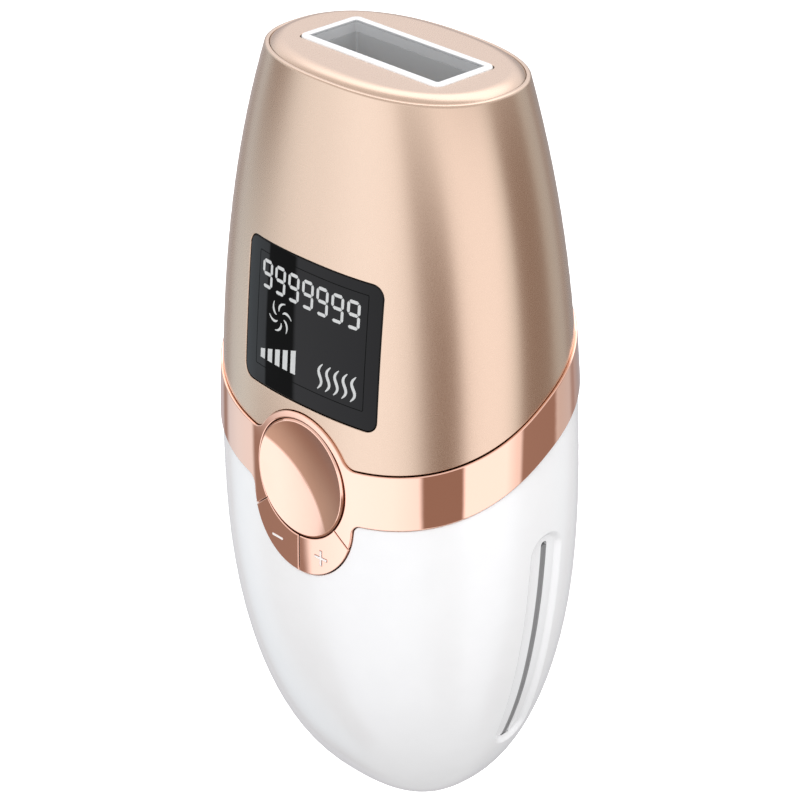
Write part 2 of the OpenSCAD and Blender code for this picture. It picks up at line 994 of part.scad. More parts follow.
// A wire along a list of points
module wire(points, r) {
    for (i = [0:len(points) - 2]) {
        hull() {
            translate(points[i]) sphere(r, $fn = 8);
            translate(points[i + 1]) sphere(r, $fn = 8);
        }
    }
}

// Points on a smooth path through four handles
function bezier(a, b, c, d, t) = a * pow(1 - t, 3) + 3 * b * t * pow(1 - t, 2)
    + 3 * c * t * t * (1 - t) + d * pow(t, 3);

function wire_path(a, b, c, d, count) = [for (i = [0:count]) bezier(a, b, c, d, i / count)];

// Two leads from the power socket to the power board
module power_leads() {
    color("red") {
        for (dx = [0, 2.2]) {
            wire(wire_path([3 + dx, 2, 16], [5 + dx, 15, 26], [6 + dx, 16, 44], [6 + dx, 11, 62], 7), 0.6);
        }
    }
}

// Two heavy leads from the capacitor's studs towards the lamp socket
module capacitor_leads() {
    color("black") {
        for (side = [-1, 1]) {
            wire(
                wire_path(
                    [cap_x + side * 3.7, cap_y, cap_can_low_z - 3],
                    [cap_x + side * 3.7, cap_y + 8, 11],
                    [cap_x + side * 3.7, 19.6, 20],
                    [cap_x + side * 3.7, 14.6, 60],
                    8
                ),
                0.7
            );
        }
    }
}

// White rim of the cartridge with its finger grooves
module cartridge_frame() {
    color("white") {
        difference() {
            translate([0, 0, rim_low_z]) linear_extrude(rim_top_z - rim_low_z)
                rounded_rect(rim_half_w, rim_half_d, 1.5);
            translate([-window_half_w, -window_half_d, rim_low_z - 1])
                cube([2 * window_half_w, 2 * window_half_d, 5]);
        }
    }
}

// Heat-proof cartridge box with a floor and seats for the glass and the lamp ends
module cartridge_body() {
    color("lightgray") {
        difference() {
            translate([-cart_half_w, -cart_half_d, cart_low_z])
                cube([2 * cart_half_w, 2 * cart_half_d, rim_low_z - cart_low_z]);
            translate([-window_half_w - 0.3, -window_half_d - 0.5, cart_low_z + 2])
                cube([2 * window_half_w + 0.6, 2 * window_half_d + 1, far]);
            for (x = [-contact_x, contact_x]) {
                translate([x, 0, cart_low_z - 1]) cylinder(r = contact_r + 0.05, h = 4);
            }
        }
    }
}

// Half width of the reflector's inside at height z
function trough_y(z, t) = z < 122
    ? (4.7 + t) * sqrt(max(0, 1 - pow((122 - z) / (7.6 + t), 2)))
    : 4.7 + t;

// Side view of the reflector's trough, offset outwards by t
function trough_side(t) = [for (a = [0:7.5:90]) 122 - (7.6 + t) * cos(a)];

module trough_outline(t) {
    zs = concat(trough_side(t), [glass_z - 0.1]);
    right = [for (z = zs) [trough_y(z, t), z]];
    left = [for (i = [len(zs) - 1:-1:1]) [-trough_y(zs[i], t), zs[i]]];
    polygon(concat(right, left));
}

module reflector() {
    color("silver") {
        translate([-14.9, 0, 0]) rotate([90, 0, 90]) linear_extrude(29.8) difference() {
            trough_outline(0.4);
            trough_outline(0);
            translate([-10, glass_z - 0.2]) square([20, 1]);
        }
    }
}

module filter_glass() {
    color("orange", 0.4) {
        translate([-14.8, -5, glass_z]) cube([29.6, 10, 1.5]);
    }
}

module lamp_tube() {
    color("lightcyan", 0.5) {
        translate([-lamp_half_l, 0, lamp_z]) rotate([0, 90, 0]) difference() {
            cylinder(r = lamp_r, h = 2 * lamp_half_l);
            translate([0, 0, -1]) cylinder(r = 1.7, h = 2 * lamp_half_l + 2);
        }
    }
}

module lamp_electrodes() {
    color("silver") {
        for (side = [-1, 1]) {
            translate([side * lamp_half_l, 0, lamp_z]) rotate([0, 90 * side, 0]) {
                cylinder(r = 2, h = 1.3);
                translate([0, 0, -3]) cylinder(r = 0.8, h = 3);
            }
        }
    }
}

// Fine wire loops around the lamp that start the flash
module trigger_wire() {
    color("silver") {
        for (i = [-4:4]) {
            translate([i * 2.6, 0, lamp_z]) rotate([0, 90, 0]) rotate_extrude()
                translate([lamp_r + 0.22, 0]) circle(0.15);
        }
    }
}

module cartridge_contacts() {
    color("gold") {
        for (x = [-contact_x, contact_x]) {
            translate([x, 0, contact_low_z]) cylinder(r = contact_r, h = 11);
            translate([x, 0, cart_low_z + 2]) cylinder(r = 1.4, h = 0.8);
        }
    }
}

upper_shell();
top_cap();
trim_ring();
lower_shell();
display_lens();
display_gasket();
lcd_module();
lcd_backlight();
control_pcb();
control_screws();
buzzer();
flash_switch();
minus_switch();
plus_switch();
flash_plunger();
minus_plunger();
plus_plunger();
flash_button();
button_stem();
minus_key();
plus_key();
chassis();
main_pcb();
board_screws();
boost_transformer();
power_transistor();
trigger_transformer();
flash_capacitor();
capacitor_strap();
fan_housing();
fan_rotor();
fan_screws();
vent_insert_left();
vent_insert_right();
dc_jack();
jack_pin();
heatsink();
cartridge_socket();
socket_contacts();
thermal_fuse();
power_leads();
capacitor_leads();
cartridge_frame();
cartridge_body();
reflector();
filter_glass();
lamp_tube();
lamp_electrodes();
trigger_wire();
cartridge_contacts();
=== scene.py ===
"""Visual model of a handheld pulsed-light hair remover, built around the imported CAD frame.

Lengths are millimetres until a mesh is made; +Z points to the lamp window and the display faces -Y.
phi is the angle around the body's axis, 0 at the front and growing towards +X.
"""

import json
import math

import bmesh
import bpy
import numpy as np
from mathutils import Matrix, Vector
from mathutils.geometry import delaunay_2d_cdt

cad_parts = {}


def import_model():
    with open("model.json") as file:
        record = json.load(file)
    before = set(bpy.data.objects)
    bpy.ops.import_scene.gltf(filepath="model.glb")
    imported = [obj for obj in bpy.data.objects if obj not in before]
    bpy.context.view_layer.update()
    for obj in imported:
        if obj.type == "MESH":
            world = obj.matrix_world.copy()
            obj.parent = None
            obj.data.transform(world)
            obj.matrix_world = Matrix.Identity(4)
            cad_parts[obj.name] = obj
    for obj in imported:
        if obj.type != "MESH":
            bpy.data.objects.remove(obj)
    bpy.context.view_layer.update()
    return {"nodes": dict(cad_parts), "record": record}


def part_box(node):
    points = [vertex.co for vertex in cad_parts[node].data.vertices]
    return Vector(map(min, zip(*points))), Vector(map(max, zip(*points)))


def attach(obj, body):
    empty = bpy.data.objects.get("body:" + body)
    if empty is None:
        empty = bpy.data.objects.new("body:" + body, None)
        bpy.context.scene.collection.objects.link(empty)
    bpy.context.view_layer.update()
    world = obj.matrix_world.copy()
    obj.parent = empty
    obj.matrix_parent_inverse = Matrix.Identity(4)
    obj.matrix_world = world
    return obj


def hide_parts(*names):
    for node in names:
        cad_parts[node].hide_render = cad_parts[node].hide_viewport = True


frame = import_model()

MM = 0.001
TURN = 2 * math.pi


def node_box(node):
    """Lowest and highest corner of a CAD node, in millimetres."""
    return [np.array(corner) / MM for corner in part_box(node)]


# Driving dimensions, read from the frame
cap_low, cap_high = node_box("top_cap")
rim_low, rim_high = node_box("cartridge_frame")
lens_low, lens_high = node_box("display_lens")
button_low, button_high = node_box("flash_button")
box_low, box_high = node_box("cartridge_body")
slot_low, slot_high = node_box("vent_insert_right")
key_axis = sum(node_box("plus_plunger")) / 2

HALF_W, HALF_D, _ = node_box("lower_shell")[1]
SEAM_Z = node_box("upper_shell")[1][2]
CAP_W, CAP_D, _ = cap_high
CAP_INSET = 0.85
TOP_W = CAP_W + CAP_INSET
TOP_D = CAP_D + CAP_INSET

# The body's outline law
SQUARENESS = 2.38
WIDEST_Z = 70
DEEPEST_Z = 50
TIP_Z = 0.2
BLEND_Z = 30
WALL = 2

# Angles of the level rings around the body, and the upward direction, once and for each of their points
AROUND = np.linspace(-math.pi, math.pi, 161)[:-1]
UP = np.array([0.0, 0.0, 1.0])
UPWARD = np.tile(UP, (len(AROUND), 1))

# Band and collar. A collar arc has its centre's height, its radius and its fillet's radius.
BAND_SLOPE = 0.61
BAND_TOP_Z = 88.2
BAND_BOTTOM_Z = 78.4
BAND_PROUD = 0.45
BAND_DEPTH = 1.3
SEAM = 0.1
CUP_SEAM = 0.32
EDGE_ROLL = 0.12
BUTTON_R = (button_high[0] - button_low[0]) / 2
BUTTON_Z = (button_low[2] + button_high[2]) / 2
BORE_R = BUTTON_R + 0.2
BUTTON_TILT = math.radians(2.3)
COLLAR_TOP = (BUTTON_Z, 12.1, 3.2)
COLLAR_LOW = (63.7, 12.4, 2.0)
KEY_LINE = math.radians(-39)
KEY_GAP = 0.15
ARC_STEP = 0.35
# Length per radian in flat coordinates
FLAT_R = 28.0

# Display window
LENS_OFF = -0.1
LENS_W = (lens_high[0] - lens_low[0]) / 2
LENS_H = lens_high[2] - lens_low[2]
LENS_MIDDLE = (0, (lens_low[2] + lens_high[2]) / 2)

# Air slots and the recesses around them
VENT_Y = (slot_low[1] + slot_high[1]) / 2
RECESS_HALF = 4.1
RECESS_Z = (17.0, 63.2)
RECESS_DEPTH = 0.9
SLOT_HALF = 0.72

# What the camera and the lamps face, in metres
TARGET = Vector((0, 0, 0.07))


def half_sizes(z, off):
    """Half width and half depth of the body's section at height z, grown by off."""
    z = np.maximum(z + off * np.maximum(0, 1 - z / BLEND_Z), TIP_Z)
    tip_w = HALF_W * np.maximum(0, 1 - ((WIDEST_Z - z) / WIDEST_Z) ** 2) ** 0.38
    tip_d = HALF_D * np.maximum(0, 1 - ((DEEPEST_Z - z) / DEEPEST_Z) ** 2) ** 0.437
    share_w = np.maximum(0, z - WIDEST_Z) / (SEAM_Z - WIDEST_Z)
    share_d = np.maximum(0, z - DEEPEST_Z) / (SEAM_Z - DEEPEST_Z)
    w = np.where(z < WIDEST_Z, tip_w, HALF_W - (HALF_W - TOP_W) * share_w**2.5)
    d = np.where(z < DEEPEST_Z, tip_d, HALF_D - (HALF_D - TOP_D) * share_d**1.82)
    return w + off, d + off


def oval(phi, w, d):
    """Point of a superellipse with half sizes w and d, in the direction phi."""
    s, c = np.sin(phi), np.cos(phi)
    r = (np.abs(s / w) ** SQUARENESS + np.abs(c / d) ** SQUARENESS) ** (-1 / SQUARENESS)
    return np.stack([r * s, -r * c], -1)


def surface(phi, z, off=0.0):
    """Points of the body's surface, grown by off."""
    z = np.asarray(z, float) + 0 * phi
    w, d = half_sizes(z, off)
    return np.concatenate([oval(phi, w, d), z[..., None]], -1)


def unit(v):
    return v / np.maximum(np.linalg.norm(v, axis=-1, keepdims=True), 1e-12)


def surface_normal(phi, z, off=0.0):
    h = 2e-3
    along = surface(phi + h, z, off) - surface(phi - h, z, off)
    up = surface(phi, z + h * 10, off) - surface(phi, z - h * 10, off)
    return unit(np.cross(along, up))


def front_phi(x, z, off):
    """The angle at which the front surface has a given x."""
    w, d = half_sizes(np.asarray(z, float), off)
    y = d * np.maximum(0, 1 - np.abs(x / w) ** SQUARENESS) ** (1 / SQUARENESS)
    return np.arctan2(x, y)


def side_phi(y, z, off, side):
    """The angle at which the surface on one side has a given y."""
    w, d = half_sizes(np.asarray(z, float), off)
    x = w * np.maximum(0, 1 - np.abs(y / d) ** SQUARENESS) ** (1 / SQUARENESS)
    return np.arctan2(side * x, -np.asarray(y))


def front_y(x, z, off):
    return surface(front_phi(x, z, off), z, off)[..., 1]


# ---------- skins


class Skin:
    """Points, faces and corner normals of one closed skin. A ring is an array of point ids."""

    def __init__(self):
        self.points, self.faces, self.normals = [], [], []

    def ring(self, points):
        first = len(self.points)
        self.points.extend(tuple(p) for p in points)
        return np.arange(first, first + len(points))

    def strip(self, a, b, normals_a, normals_b):
        """A closed row of quads between two equal rings."""
        count = len(a)
        for i in range(count):
            j = (i + 1) % count
            self.faces.append((a[i], a[j], b[j], b[i]))
            self.normals.append((normals_a[i], normals_a[j], normals_b[j], normals_b[i]))

    def sweep(self, ring, normals, sections):
        """Strips from a ring through sections of (points, normals). Returns the last ring and its normals."""
        for points, next_normals in sections:
            next_ring = self.ring(points)
            self.strip(ring, next_ring, normals, next_normals)
            ring, normals = next_ring, next_normals
        return ring, normals

    def fan(self, ring, centre, normals, centre_normal):
        hub = self.ring([centre])[0]
        for i in range(len(ring)):
            j = (i + 1) % len(ring)
            self.faces.append((ring[i], ring[j], hub))
            self.normals.append((normals[i], normals[j], centre_normal))

    def fill(self, loops, spacing, place, normal_of):
        """Triangles inside the first loop and outside the others. A loop is (ring, flat coordinates)."""
        outlines = [flat for _, flat in loops]
        spots = grid_inside(outlines, spacing) if spacing else np.zeros((0, 2))
        ids = [ids for ids, _ in loops]
        if len(spots):
            ids.append(self.ring(place(spots)))
        ids = np.concatenate(ids)
        flat = np.concatenate(outlines + [spots])
        edges, first = [], 0
        for outline in outlines:
            count = len(outline)
            edges += [(first + i, first + (i + 1) % count) for i in range(count)]
            first += count
        made = delaunay_2d_cdt([Vector(p) for p in flat], edges, [], 0, 1e-7)
        source = [found[0] if found else -1 for found in made[3]]
        tris = np.array([[source[i] for i in tri] for tri in made[2] if len(tri) == 3])
        tris = tris[(tris >= 0).all(1)]
        tris = tris[inside(flat[tris].mean(1), outlines)]
        normals = normal_of(flat)
        for tri in tris:
            self.faces.append(tuple(ids[tri]))
            self.normals.append(tuple(normals[i] for i in tri))


def inside(spots, outlines):
    """Which spots lie inside an odd number of outlines."""
    odd = np.zeros(len(spots), bool)
    for outline in outlines:
        a, b = outline, np.roll(outline, -1, 0)
        x, y = spots[:, :1], spots[:, 1:]
        crosses = (a[:, 1] > y) != (b[:, 1] > y)
        rise = np.where(b[:, 1] == a[:, 1], 1e-12, b[:, 1] - a[:, 1])
        reach = a[:, 0] + (y - a[:, 1]) / rise * (b[:, 0] - a[:, 0])
        odd ^= ((crosses & (x < reach)).sum(1) % 2).astype(bool)
    return odd


def grid_inside(outlines, spacing):
    """Staggered grid spots inside the outlines and clear of them."""
    every = np.concatenate(outlines)
    low, high = every.min(0), every.max(0)
    rows = np.arange(low[1] + spacing / 2, high[1], spacing * 0.866)
    spots = []
    for k, y in enumerate(rows):
        xs = np.arange(low[0] + spacing * (0.25 + 0.5 * (k % 2)), high[0], spacing)
        spots.append(np.stack([xs, np.full(len(xs), y)], 1))
    spots = np.concatenate(spots)
    spots = spots[inside(spots, outlines)]
    clear = np.array([((every - s) ** 2).sum(1).min() > (0.6 * spacing) ** 2 for s in spots], bool)
    return spots[clear] if len(spots) else spots


def add_object(name, data):
    made = bpy.data.objects.new(name, data)
    bpy.context.scene.collection.objects.link(made)
    return made


def new_mesh(name, points, faces):
    """A smooth mesh from points in millimetres."""
    mesh = bpy.data.meshes.new(name)
    mesh.from_pydata([tuple(p) for p in np.array(points) * MM], [], faces)
    mesh.polygons.foreach_set("use_smooth", [True] * len(mesh.polygons))
    return mesh


def add_piece(mesh, body, finish, node=None):
    """Shows a mesh as a piece that rides on a body, in place of a CAD node if one is named."""
    mesh.materials.append(materials[finish])
    piece = add_object(mesh.name, mesh)
    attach(piece, body)
    if node:
        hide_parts(node)


def skin_mesh(name, skin):
    """A mesh from a skin, each face turned the way its normals point."""
    points = np.array(skin.points)
    faces, corner_normals = [], []
    for face, normals in zip(skin.faces, skin.normals):
        face = [int(i) for i in face]
        p = points[face]
        facing = np.cross(p[1] - p[0], p[2] - p[0])
        if len(face) == 4:
            facing = np.cross(p[2] - p[0], p[3] - p[1])
        if np.dot(facing, np.mean(normals, 0)) < 0:
            face, normals = face[::-1], normals[::-1]
        faces.append(face)
        corner_normals.extend(normals)
    mesh = new_mesh(name, points, faces)
    mesh.normals_split_custom_set([tuple(n) for n in unit(np.array(corner_normals))])
    return mesh


def to_flat(points):
    """Flat coordinates of points on the body: length around it and height."""
    phi = np.unwrap(np.arctan2(points[:, 0], -points[:, 1]))
    if phi[0] > 3.0:
        phi = phi - TURN
    return np.stack([phi * FLAT_R, points[:, 2]], 1)


def roll(skin, base, normal, away, bevel, depth, degrees):
    """Rounded edge along base, and the wall behind it. Returns top and back ring, each with its points."""

    def section(a):
        points = base - normal * bevel * (1 - math.cos(a)) - away * bevel * (1 - math.sin(a))
        return points, normal * math.cos(a) + away * math.sin(a)

    points, normals = section(0)
    top = skin.ring(points)
    side, _ = skin.sweep(top, normals, [section(a) for a in np.radians(degrees)])
    behind = base - normal * depth
    back, _ = skin.sweep(side, away, [(behind, away)])
    return (top, points), (back, behind)


def rolled_edge(skin, phi, z, off, bevel, depth, left=True):
    """Rounded edge and wall along a loop on the body; the solid lies to the left or right of its travel.
    Returns the top and the back ring, each as (ring, flat coordinates)."""
    base = surface(phi, z, off)
    normal = surface_normal(phi, z, off)
    travel = np.roll(base, -1, 0) - np.roll(base, 1, 0)
    away = unit(np.cross(travel, normal)) * (1 if left else -1)
    rings = roll(skin, base, normal, away, bevel, depth, (30, 60, 90))
    return [(ring, to_flat(points)) for ring, points in rings]


def wrap(skin, low, high, place, spacing):
    """One outline from two rings around the body, cut along the back."""
    turn = np.array([TURN * FLAT_R, 0])
    (low_ids, low_flat), (high_ids, high_flat) = low, high
    count = max(int((high_flat[0, 1] - low_flat[0, 1]) / spacing), 2)
    seam = np.linspace(low_flat[0], high_flat[0], count + 1)[1:-1]
    seam[:, 0] = -TURN / 2 * FLAT_R
    seam_ids = skin.ring(place(seam))
    ids = [low_ids, low_ids[:1], seam_ids, high_ids[:1], high_ids[::-1], seam_ids[::-1]]
    flats = [low_flat, low_flat[:1] + turn, seam + turn, high_flat[:1] + turn]
    flats += [high_flat[::-1], seam[::-1]]
    return np.concatenate(ids), np.concatenate(flats)


def on_surface(off, depth=0.0):
    """Functions from flat coordinates to points and normals of the grown surface."""

    def place(flat):
        phi, z = flat[:, 0] / FLAT_R, flat[:, 1]
        return surface(phi, z, off) - surface_normal(phi, z, off) * depth

    def normal_of(flat):
        sign = -1 if depth else 1
        return surface_normal(flat[:, 0] / FLAT_R, flat[:, 1], off) * sign

    return place, normal_of


def fill_around(skin, low, high, holes, spacing, off=0.0, depth=0.0):
    """Fills the body's surface between two rings around it, except the holes."""
    place, normal_of = on_surface(off, depth)
    skin.fill([wrap(skin, low, high, place, spacing), *holes], spacing, place, normal_of)


def panel(skin, loops, off, depth, bevel, spacing, around=False):
    """A curved plate. A loop is (phi, z, solid to its left). With around, the first two go round the body."""
    edges = [rolled_edge(skin, phi, z, off, bevel, depth, left) for phi, z, left in loops]
    for rings, deep in zip(zip(*edges), (0.0, depth)):
        if around:
            fill_around(skin, rings[0], rings[1], rings[2:], spacing, off, deep)
        else:
            skin.fill(rings, spacing, *on_surface(off, deep))


# ---------- outlines


def arc(centre, radius, start, end, step=ARC_STEP):
    """Points of an arc in the front view, both ends included."""
    count = max(int(abs(end - start) * radius / step), 2)
    t = np.linspace(start, end, count + 1)
    return np.stack([centre[0] + radius * np.cos(t), centre[1] + radius * np.sin(t)], 1)


def tilted_z(phi, z0, off):
    """Height of a tilted edge around the body."""
    z = z0 + 0 * phi
    for _ in range(8):
        z = z0 + BAND_SLOPE * surface(phi, z, off)[..., 1]
    return z


def edge_beside_collar(z0, collar, up, off, grow):
    """Where a tilted edge meets the collar: the fillet's arc from the collar to the edge, the angle of its
    touching point on the collar, and phi of its end on the edge."""
    centre_z, radius, fillet = collar
    sign = 1 if up else -1
    z0, radius, fillet = z0 + sign * grow, radius + grow, fillet - grow
    phis = np.linspace(0.3, 1.1, 3000)
    points = surface(phis, tilted_z(phis, z0, off), off)
    curve = points[:, [0, 2]]
    angles = np.linspace(math.radians(-40), math.radians(70), 4001)
    hubs = np.stack([np.cos(angles), np.sin(angles)], 1) * (radius + fillet) + [0, centre_z]
    height = sign * (hubs[:, 1] - np.interp(hubs[:, 0], curve[:, 0], curve[:, 1]))
    coarse = curve[::10]
    reach = np.array([np.sqrt(((coarse - hub) ** 2).sum(1).min()) for hub in hubs])
    reach = np.where(height > 0, reach, -reach)
    best = int(np.argmin(np.abs(reach - fillet)))
    hub = hubs[best]
    touch = int(np.argmin(((curve - hub) ** 2).sum(1)))
    start = math.atan2(-(hub[1] - centre_z), -hub[0])
    end = math.atan2(curve[touch, 1] - hub[1], curve[touch, 0] - hub[0])
    end -= TURN * round((end - start) / TURN)
    return arc(hub, fillet, start, end, 0.25), angles[best], phis[touch]


def around_body(half, phi_from, z0, off):
    """A closed loop from its front half outline at +X and the tilted edge behind it, mirrored to -X."""
    behind = np.linspace(phi_from, math.pi, 100)[1:]
    phi = np.concatenate([front_phi(half[:, 0], half[:, 1], off), behind])
    z = np.concatenate([half[:, 1], tilted_z(behind, z0, off)])
    return np.concatenate([-phi[::-1], phi[1:-1]]), np.concatenate([z[::-1], z[1:-1]])


def top_edge(off, grow):
    """The band's upper edge with the collar's crown."""
    fillet, angle, phi_from = edge_beside_collar(BAND_TOP_Z, COLLAR_TOP, True, off, grow)
    crown = arc((0, COLLAR_TOP[0]), COLLAR_TOP[1] + grow, math.pi / 2, angle)
    return around_body(np.concatenate([crown, fillet[1:]]), phi_from, BAND_TOP_Z + grow, off)


def bottom_edge(off, grow):
    """The band's lower edge with the collar's round bottom."""
    fillet, angle, phi_from = edge_beside_collar(BAND_BOTTOM_Z, COLLAR_LOW, False, off, grow)
    bowl = arc((0, COLLAR_LOW[0]), COLLAR_LOW[1] + grow, -math.pi / 2, angle)
    return around_body(np.concatenate([bowl, fillet[1:]]), phi_from, BAND_BOTTOM_Z - grow, off)


def line_point(t, lift):
    """A point on the slanted line between ring and key, at distance t from the button's centre."""
    c, s = math.cos(KEY_LINE), math.sin(KEY_LINE)
    return np.array([t * c - lift * s, BUTTON_Z + t * s + lift * c])


def line_ends(lift):
    """Where the slanted line leaves the bore and the collar, and the angles of both places on their arcs."""
    t_in = math.sqrt(BORE_R**2 - lift**2)
    ts = np.linspace(t_in, 20, 4000)
    far = [np.hypot(*(line_point(t, lift) - [0, COLLAR_LOW[0]])) for t in ts]
    inner = line_point(t_in, lift)
    outer = line_point(ts[int(np.argmax(np.array(far) > COLLAR_LOW[1]))], lift)
    inner_angle = math.atan2(inner[1] - BUTTON_Z, inner[0])
    return inner, outer, inner_angle, math.atan2(outer[1] - COLLAR_LOW[0], outer[0])


def straight(a, b, step=0.5):
    """Points between a and b, without the ends."""
    count = max(int(np.hypot(*(b - a)) / step), 1)
    return np.array([a + (b - a) * k / count for k in range(1, count)]).reshape(-1, 2)


def ring_lower_edge(off):
    """The band's lower edge, broken by the key gap and the button's bore."""
    fillet, angle, phi_from = edge_beside_collar(BAND_BOTTOM_Z, COLLAR_LOW, False, off, 0)
    inner, outer, inner_angle, outer_angle = line_ends(KEY_GAP)
    parts = [arc((0, BUTTON_Z), BORE_R, math.pi / 2, inner_angle), straight(inner, outer)]
    parts += [arc((0, COLLAR_LOW[0]), COLLAR_LOW[1], outer_angle, angle), fillet[1:]]
    return around_body(np.concatenate(parts), phi_from, BAND_BOTTOM_Z, off)


def key_outline(side):
    """Front outline of a level key, anticlockwise."""
    inner, outer, inner_angle, outer_angle = line_ends(0)
    near = KEY_GAP * 0.85
    bore_end = -math.acos(near / BORE_R)
    bowl_start = -math.acos(near / COLLAR_LOW[1])
    bore = arc((0, BUTTON_Z), BORE_R, inner_angle, bore_end)
    bowl = arc((0, COLLAR_LOW[0]), COLLAR_LOW[1], bowl_start, outer_angle)
    points = np.concatenate([bore, straight(bore[-1], bowl[0]), bowl, straight(outer, inner)])
    return points if side > 0 else points[::-1] * [-1, 1]


def rounded_rect(w, h, r, centre=(0, 0), corner_points=8, edge_step=None):
    """Anticlockwise rounded rectangle with half sizes w and h."""
    parts = []
    for k, (sx, sy) in enumerate(((1, -1), (1, 1), (-1, 1), (-1, -1))):
        t = np.linspace(0, math.pi / 2, corner_points + 1) + (k - 1) * math.pi / 2
        corner = np.stack([sx * (w - r) + r * np.cos(t), sy * (h - r) + r * np.sin(t)], 1)
        parts.append(corner)
    if edge_step:
        spaced = []
        for k in range(4):
            spaced += [parts[k], straight(parts[k][-1], parts[(k + 1) % 4][0], edge_step)]
        parts = spaced
    return np.concatenate(parts) + centre


def front_loop(points, off, left=True):
    """A front-view outline as a loop on the body."""
    return front_phi(points[:, 0], points[:, 1], off), points[:, 1], left


# ---------- materials


class Web:
    """Short ways to add nodes to a node tree."""

    def __init__(self, tree):
        self.tree = tree

    def feed(self, node, inputs):
        """Sets a node's inputs, each from a plain value or from another node's output."""
        for name, value in inputs.items():
            socket = node.inputs[name]
            if isinstance(value, bpy.types.NodeSocket):
                self.tree.links.new(value, socket)
            elif socket.type == "RGBA":
                socket.default_value = (*value, 1)
            else:
                socket.default_value = value

    def node(self, kind, inputs, **settings):
        made = self.tree.nodes.new("ShaderNode" + kind)
        for name, value in settings.items():
            setattr(made, name, value)
        self.feed(made, inputs)
        return made

    def coordinate(self, kind):
        return self.node("TexCoord", {}).outputs[kind]

    def math(self, kind, a, b=0.0):
        return self.node("Math", {0: a, 1: b}, operation=kind).outputs[0]

    def times(self, a, b):
        return self.math("MULTIPLY", a, b)

    def plus(self, a, b):
        return self.math("ADD", a, b)

    def noise(self, scale, detail):
        """A noise value in object space, in cycles per metre."""
        inputs = {"Vector": self.coordinate("Object"), "Scale": scale, "Detail": detail}
        return self.node("TexNoise", inputs).outputs["Fac"]

    def remap(self, value, start, end, low=0.0, high=1.0, kind="LINEAR"):
        """A value from start..end mapped to low..high and held there."""
        inputs = {"Value": value, "From Min": start, "From Max": end, "To Min": low, "To Max": high}
        return self.node("MapRange", inputs, interpolation_type=kind).outputs["Result"]

    def step(self, value, low, high):
        """Smooth rise from 0 at low to 1 at high."""
        return self.remap(value, low, high, kind="SMOOTHSTEP")

    def hump(self, value, low, high, soft):
        """1 between low and high, fading over soft on both sides of each."""
        up = self.step(value, low - soft, low + soft)
        down = self.step(value, high - soft, high + soft)
        return self.times(up, self.math("SUBTRACT", 1.0, down))

    def ramp(self, value, stops):
        """A colour through (position, colour) stops."""
        node = self.node("ValToRGB", {"Fac": value})
        elements = node.color_ramp.elements
        for k, (position, colour) in enumerate(stops):
            stop = elements[k] if k < 2 else elements.new(position)
            stop.position = position
            stop.color = (*colour, 1)
        return node.outputs["Color"]

    def blotches(self, scale, detail, low, high):
        """A colour that wanders between two close colours."""
        return self.ramp(self.noise(scale, detail), ((0.3, low), (0.7, high)))

    def direction(self, vector):
        """Degrees around the vertical axis, 0 at the front, and degrees above the horizon."""
        x, y, z = self.node("SeparateXYZ", {0: vector}).outputs
        around = self.math("ARCTAN2", x, self.times(y, -1.0))
        return [self.times(angle, 180 / math.pi) for angle in (around, self.math("ARCSINE", z))]

    def background(self, colour, strength=1.0):
        return self.node("Background", {"Color": colour, "Strength": strength}).outputs[0]

    def mix(self, share, first, second):
        """A blend of two shaders."""
        return self.node("MixShader", {0: share, 1: first, 2: second}).outputs[0]


def new_material(name):
    """A new material, its web and its shader."""
    material = bpy.data.materials.new(name)
    material.use_nodes = True
    return material, Web(material.node_tree), material.node_tree.nodes["Principled BSDF"]


def shades(colour, share):
    """A colour a little darker and a little lighter."""
    return [tuple(min(1.0, c * k) for c in colour) for k in (1 - share, 1 + share)]


def finish_material(name, colour, share, rough, grain, depth, metallic=0.0, coat=0.0, specular=0.5):
    """A surface with two close colours, uneven roughness and a fine relief."""
    material, web, shader = new_material(name)
    fine = web.noise(grain, 2)
    look = {"Base Color": web.blotches(grain / 12, 3, *shades(colour, share))}
    look["Roughness"] = web.remap(fine, 0.3, 0.7, *rough)
    if depth:
        bump = web.node("Bump", {"Strength": 0.3, "Distance": depth, "Height": fine})
        look["Normal"] = bump.outputs["Normal"]
    look.update({"Metallic": metallic, "Specular IOR Level": specular})
    look.update({"Coat Weight": coat, "Coat Roughness": 0.08})
    web.feed(shader, look)
    return material


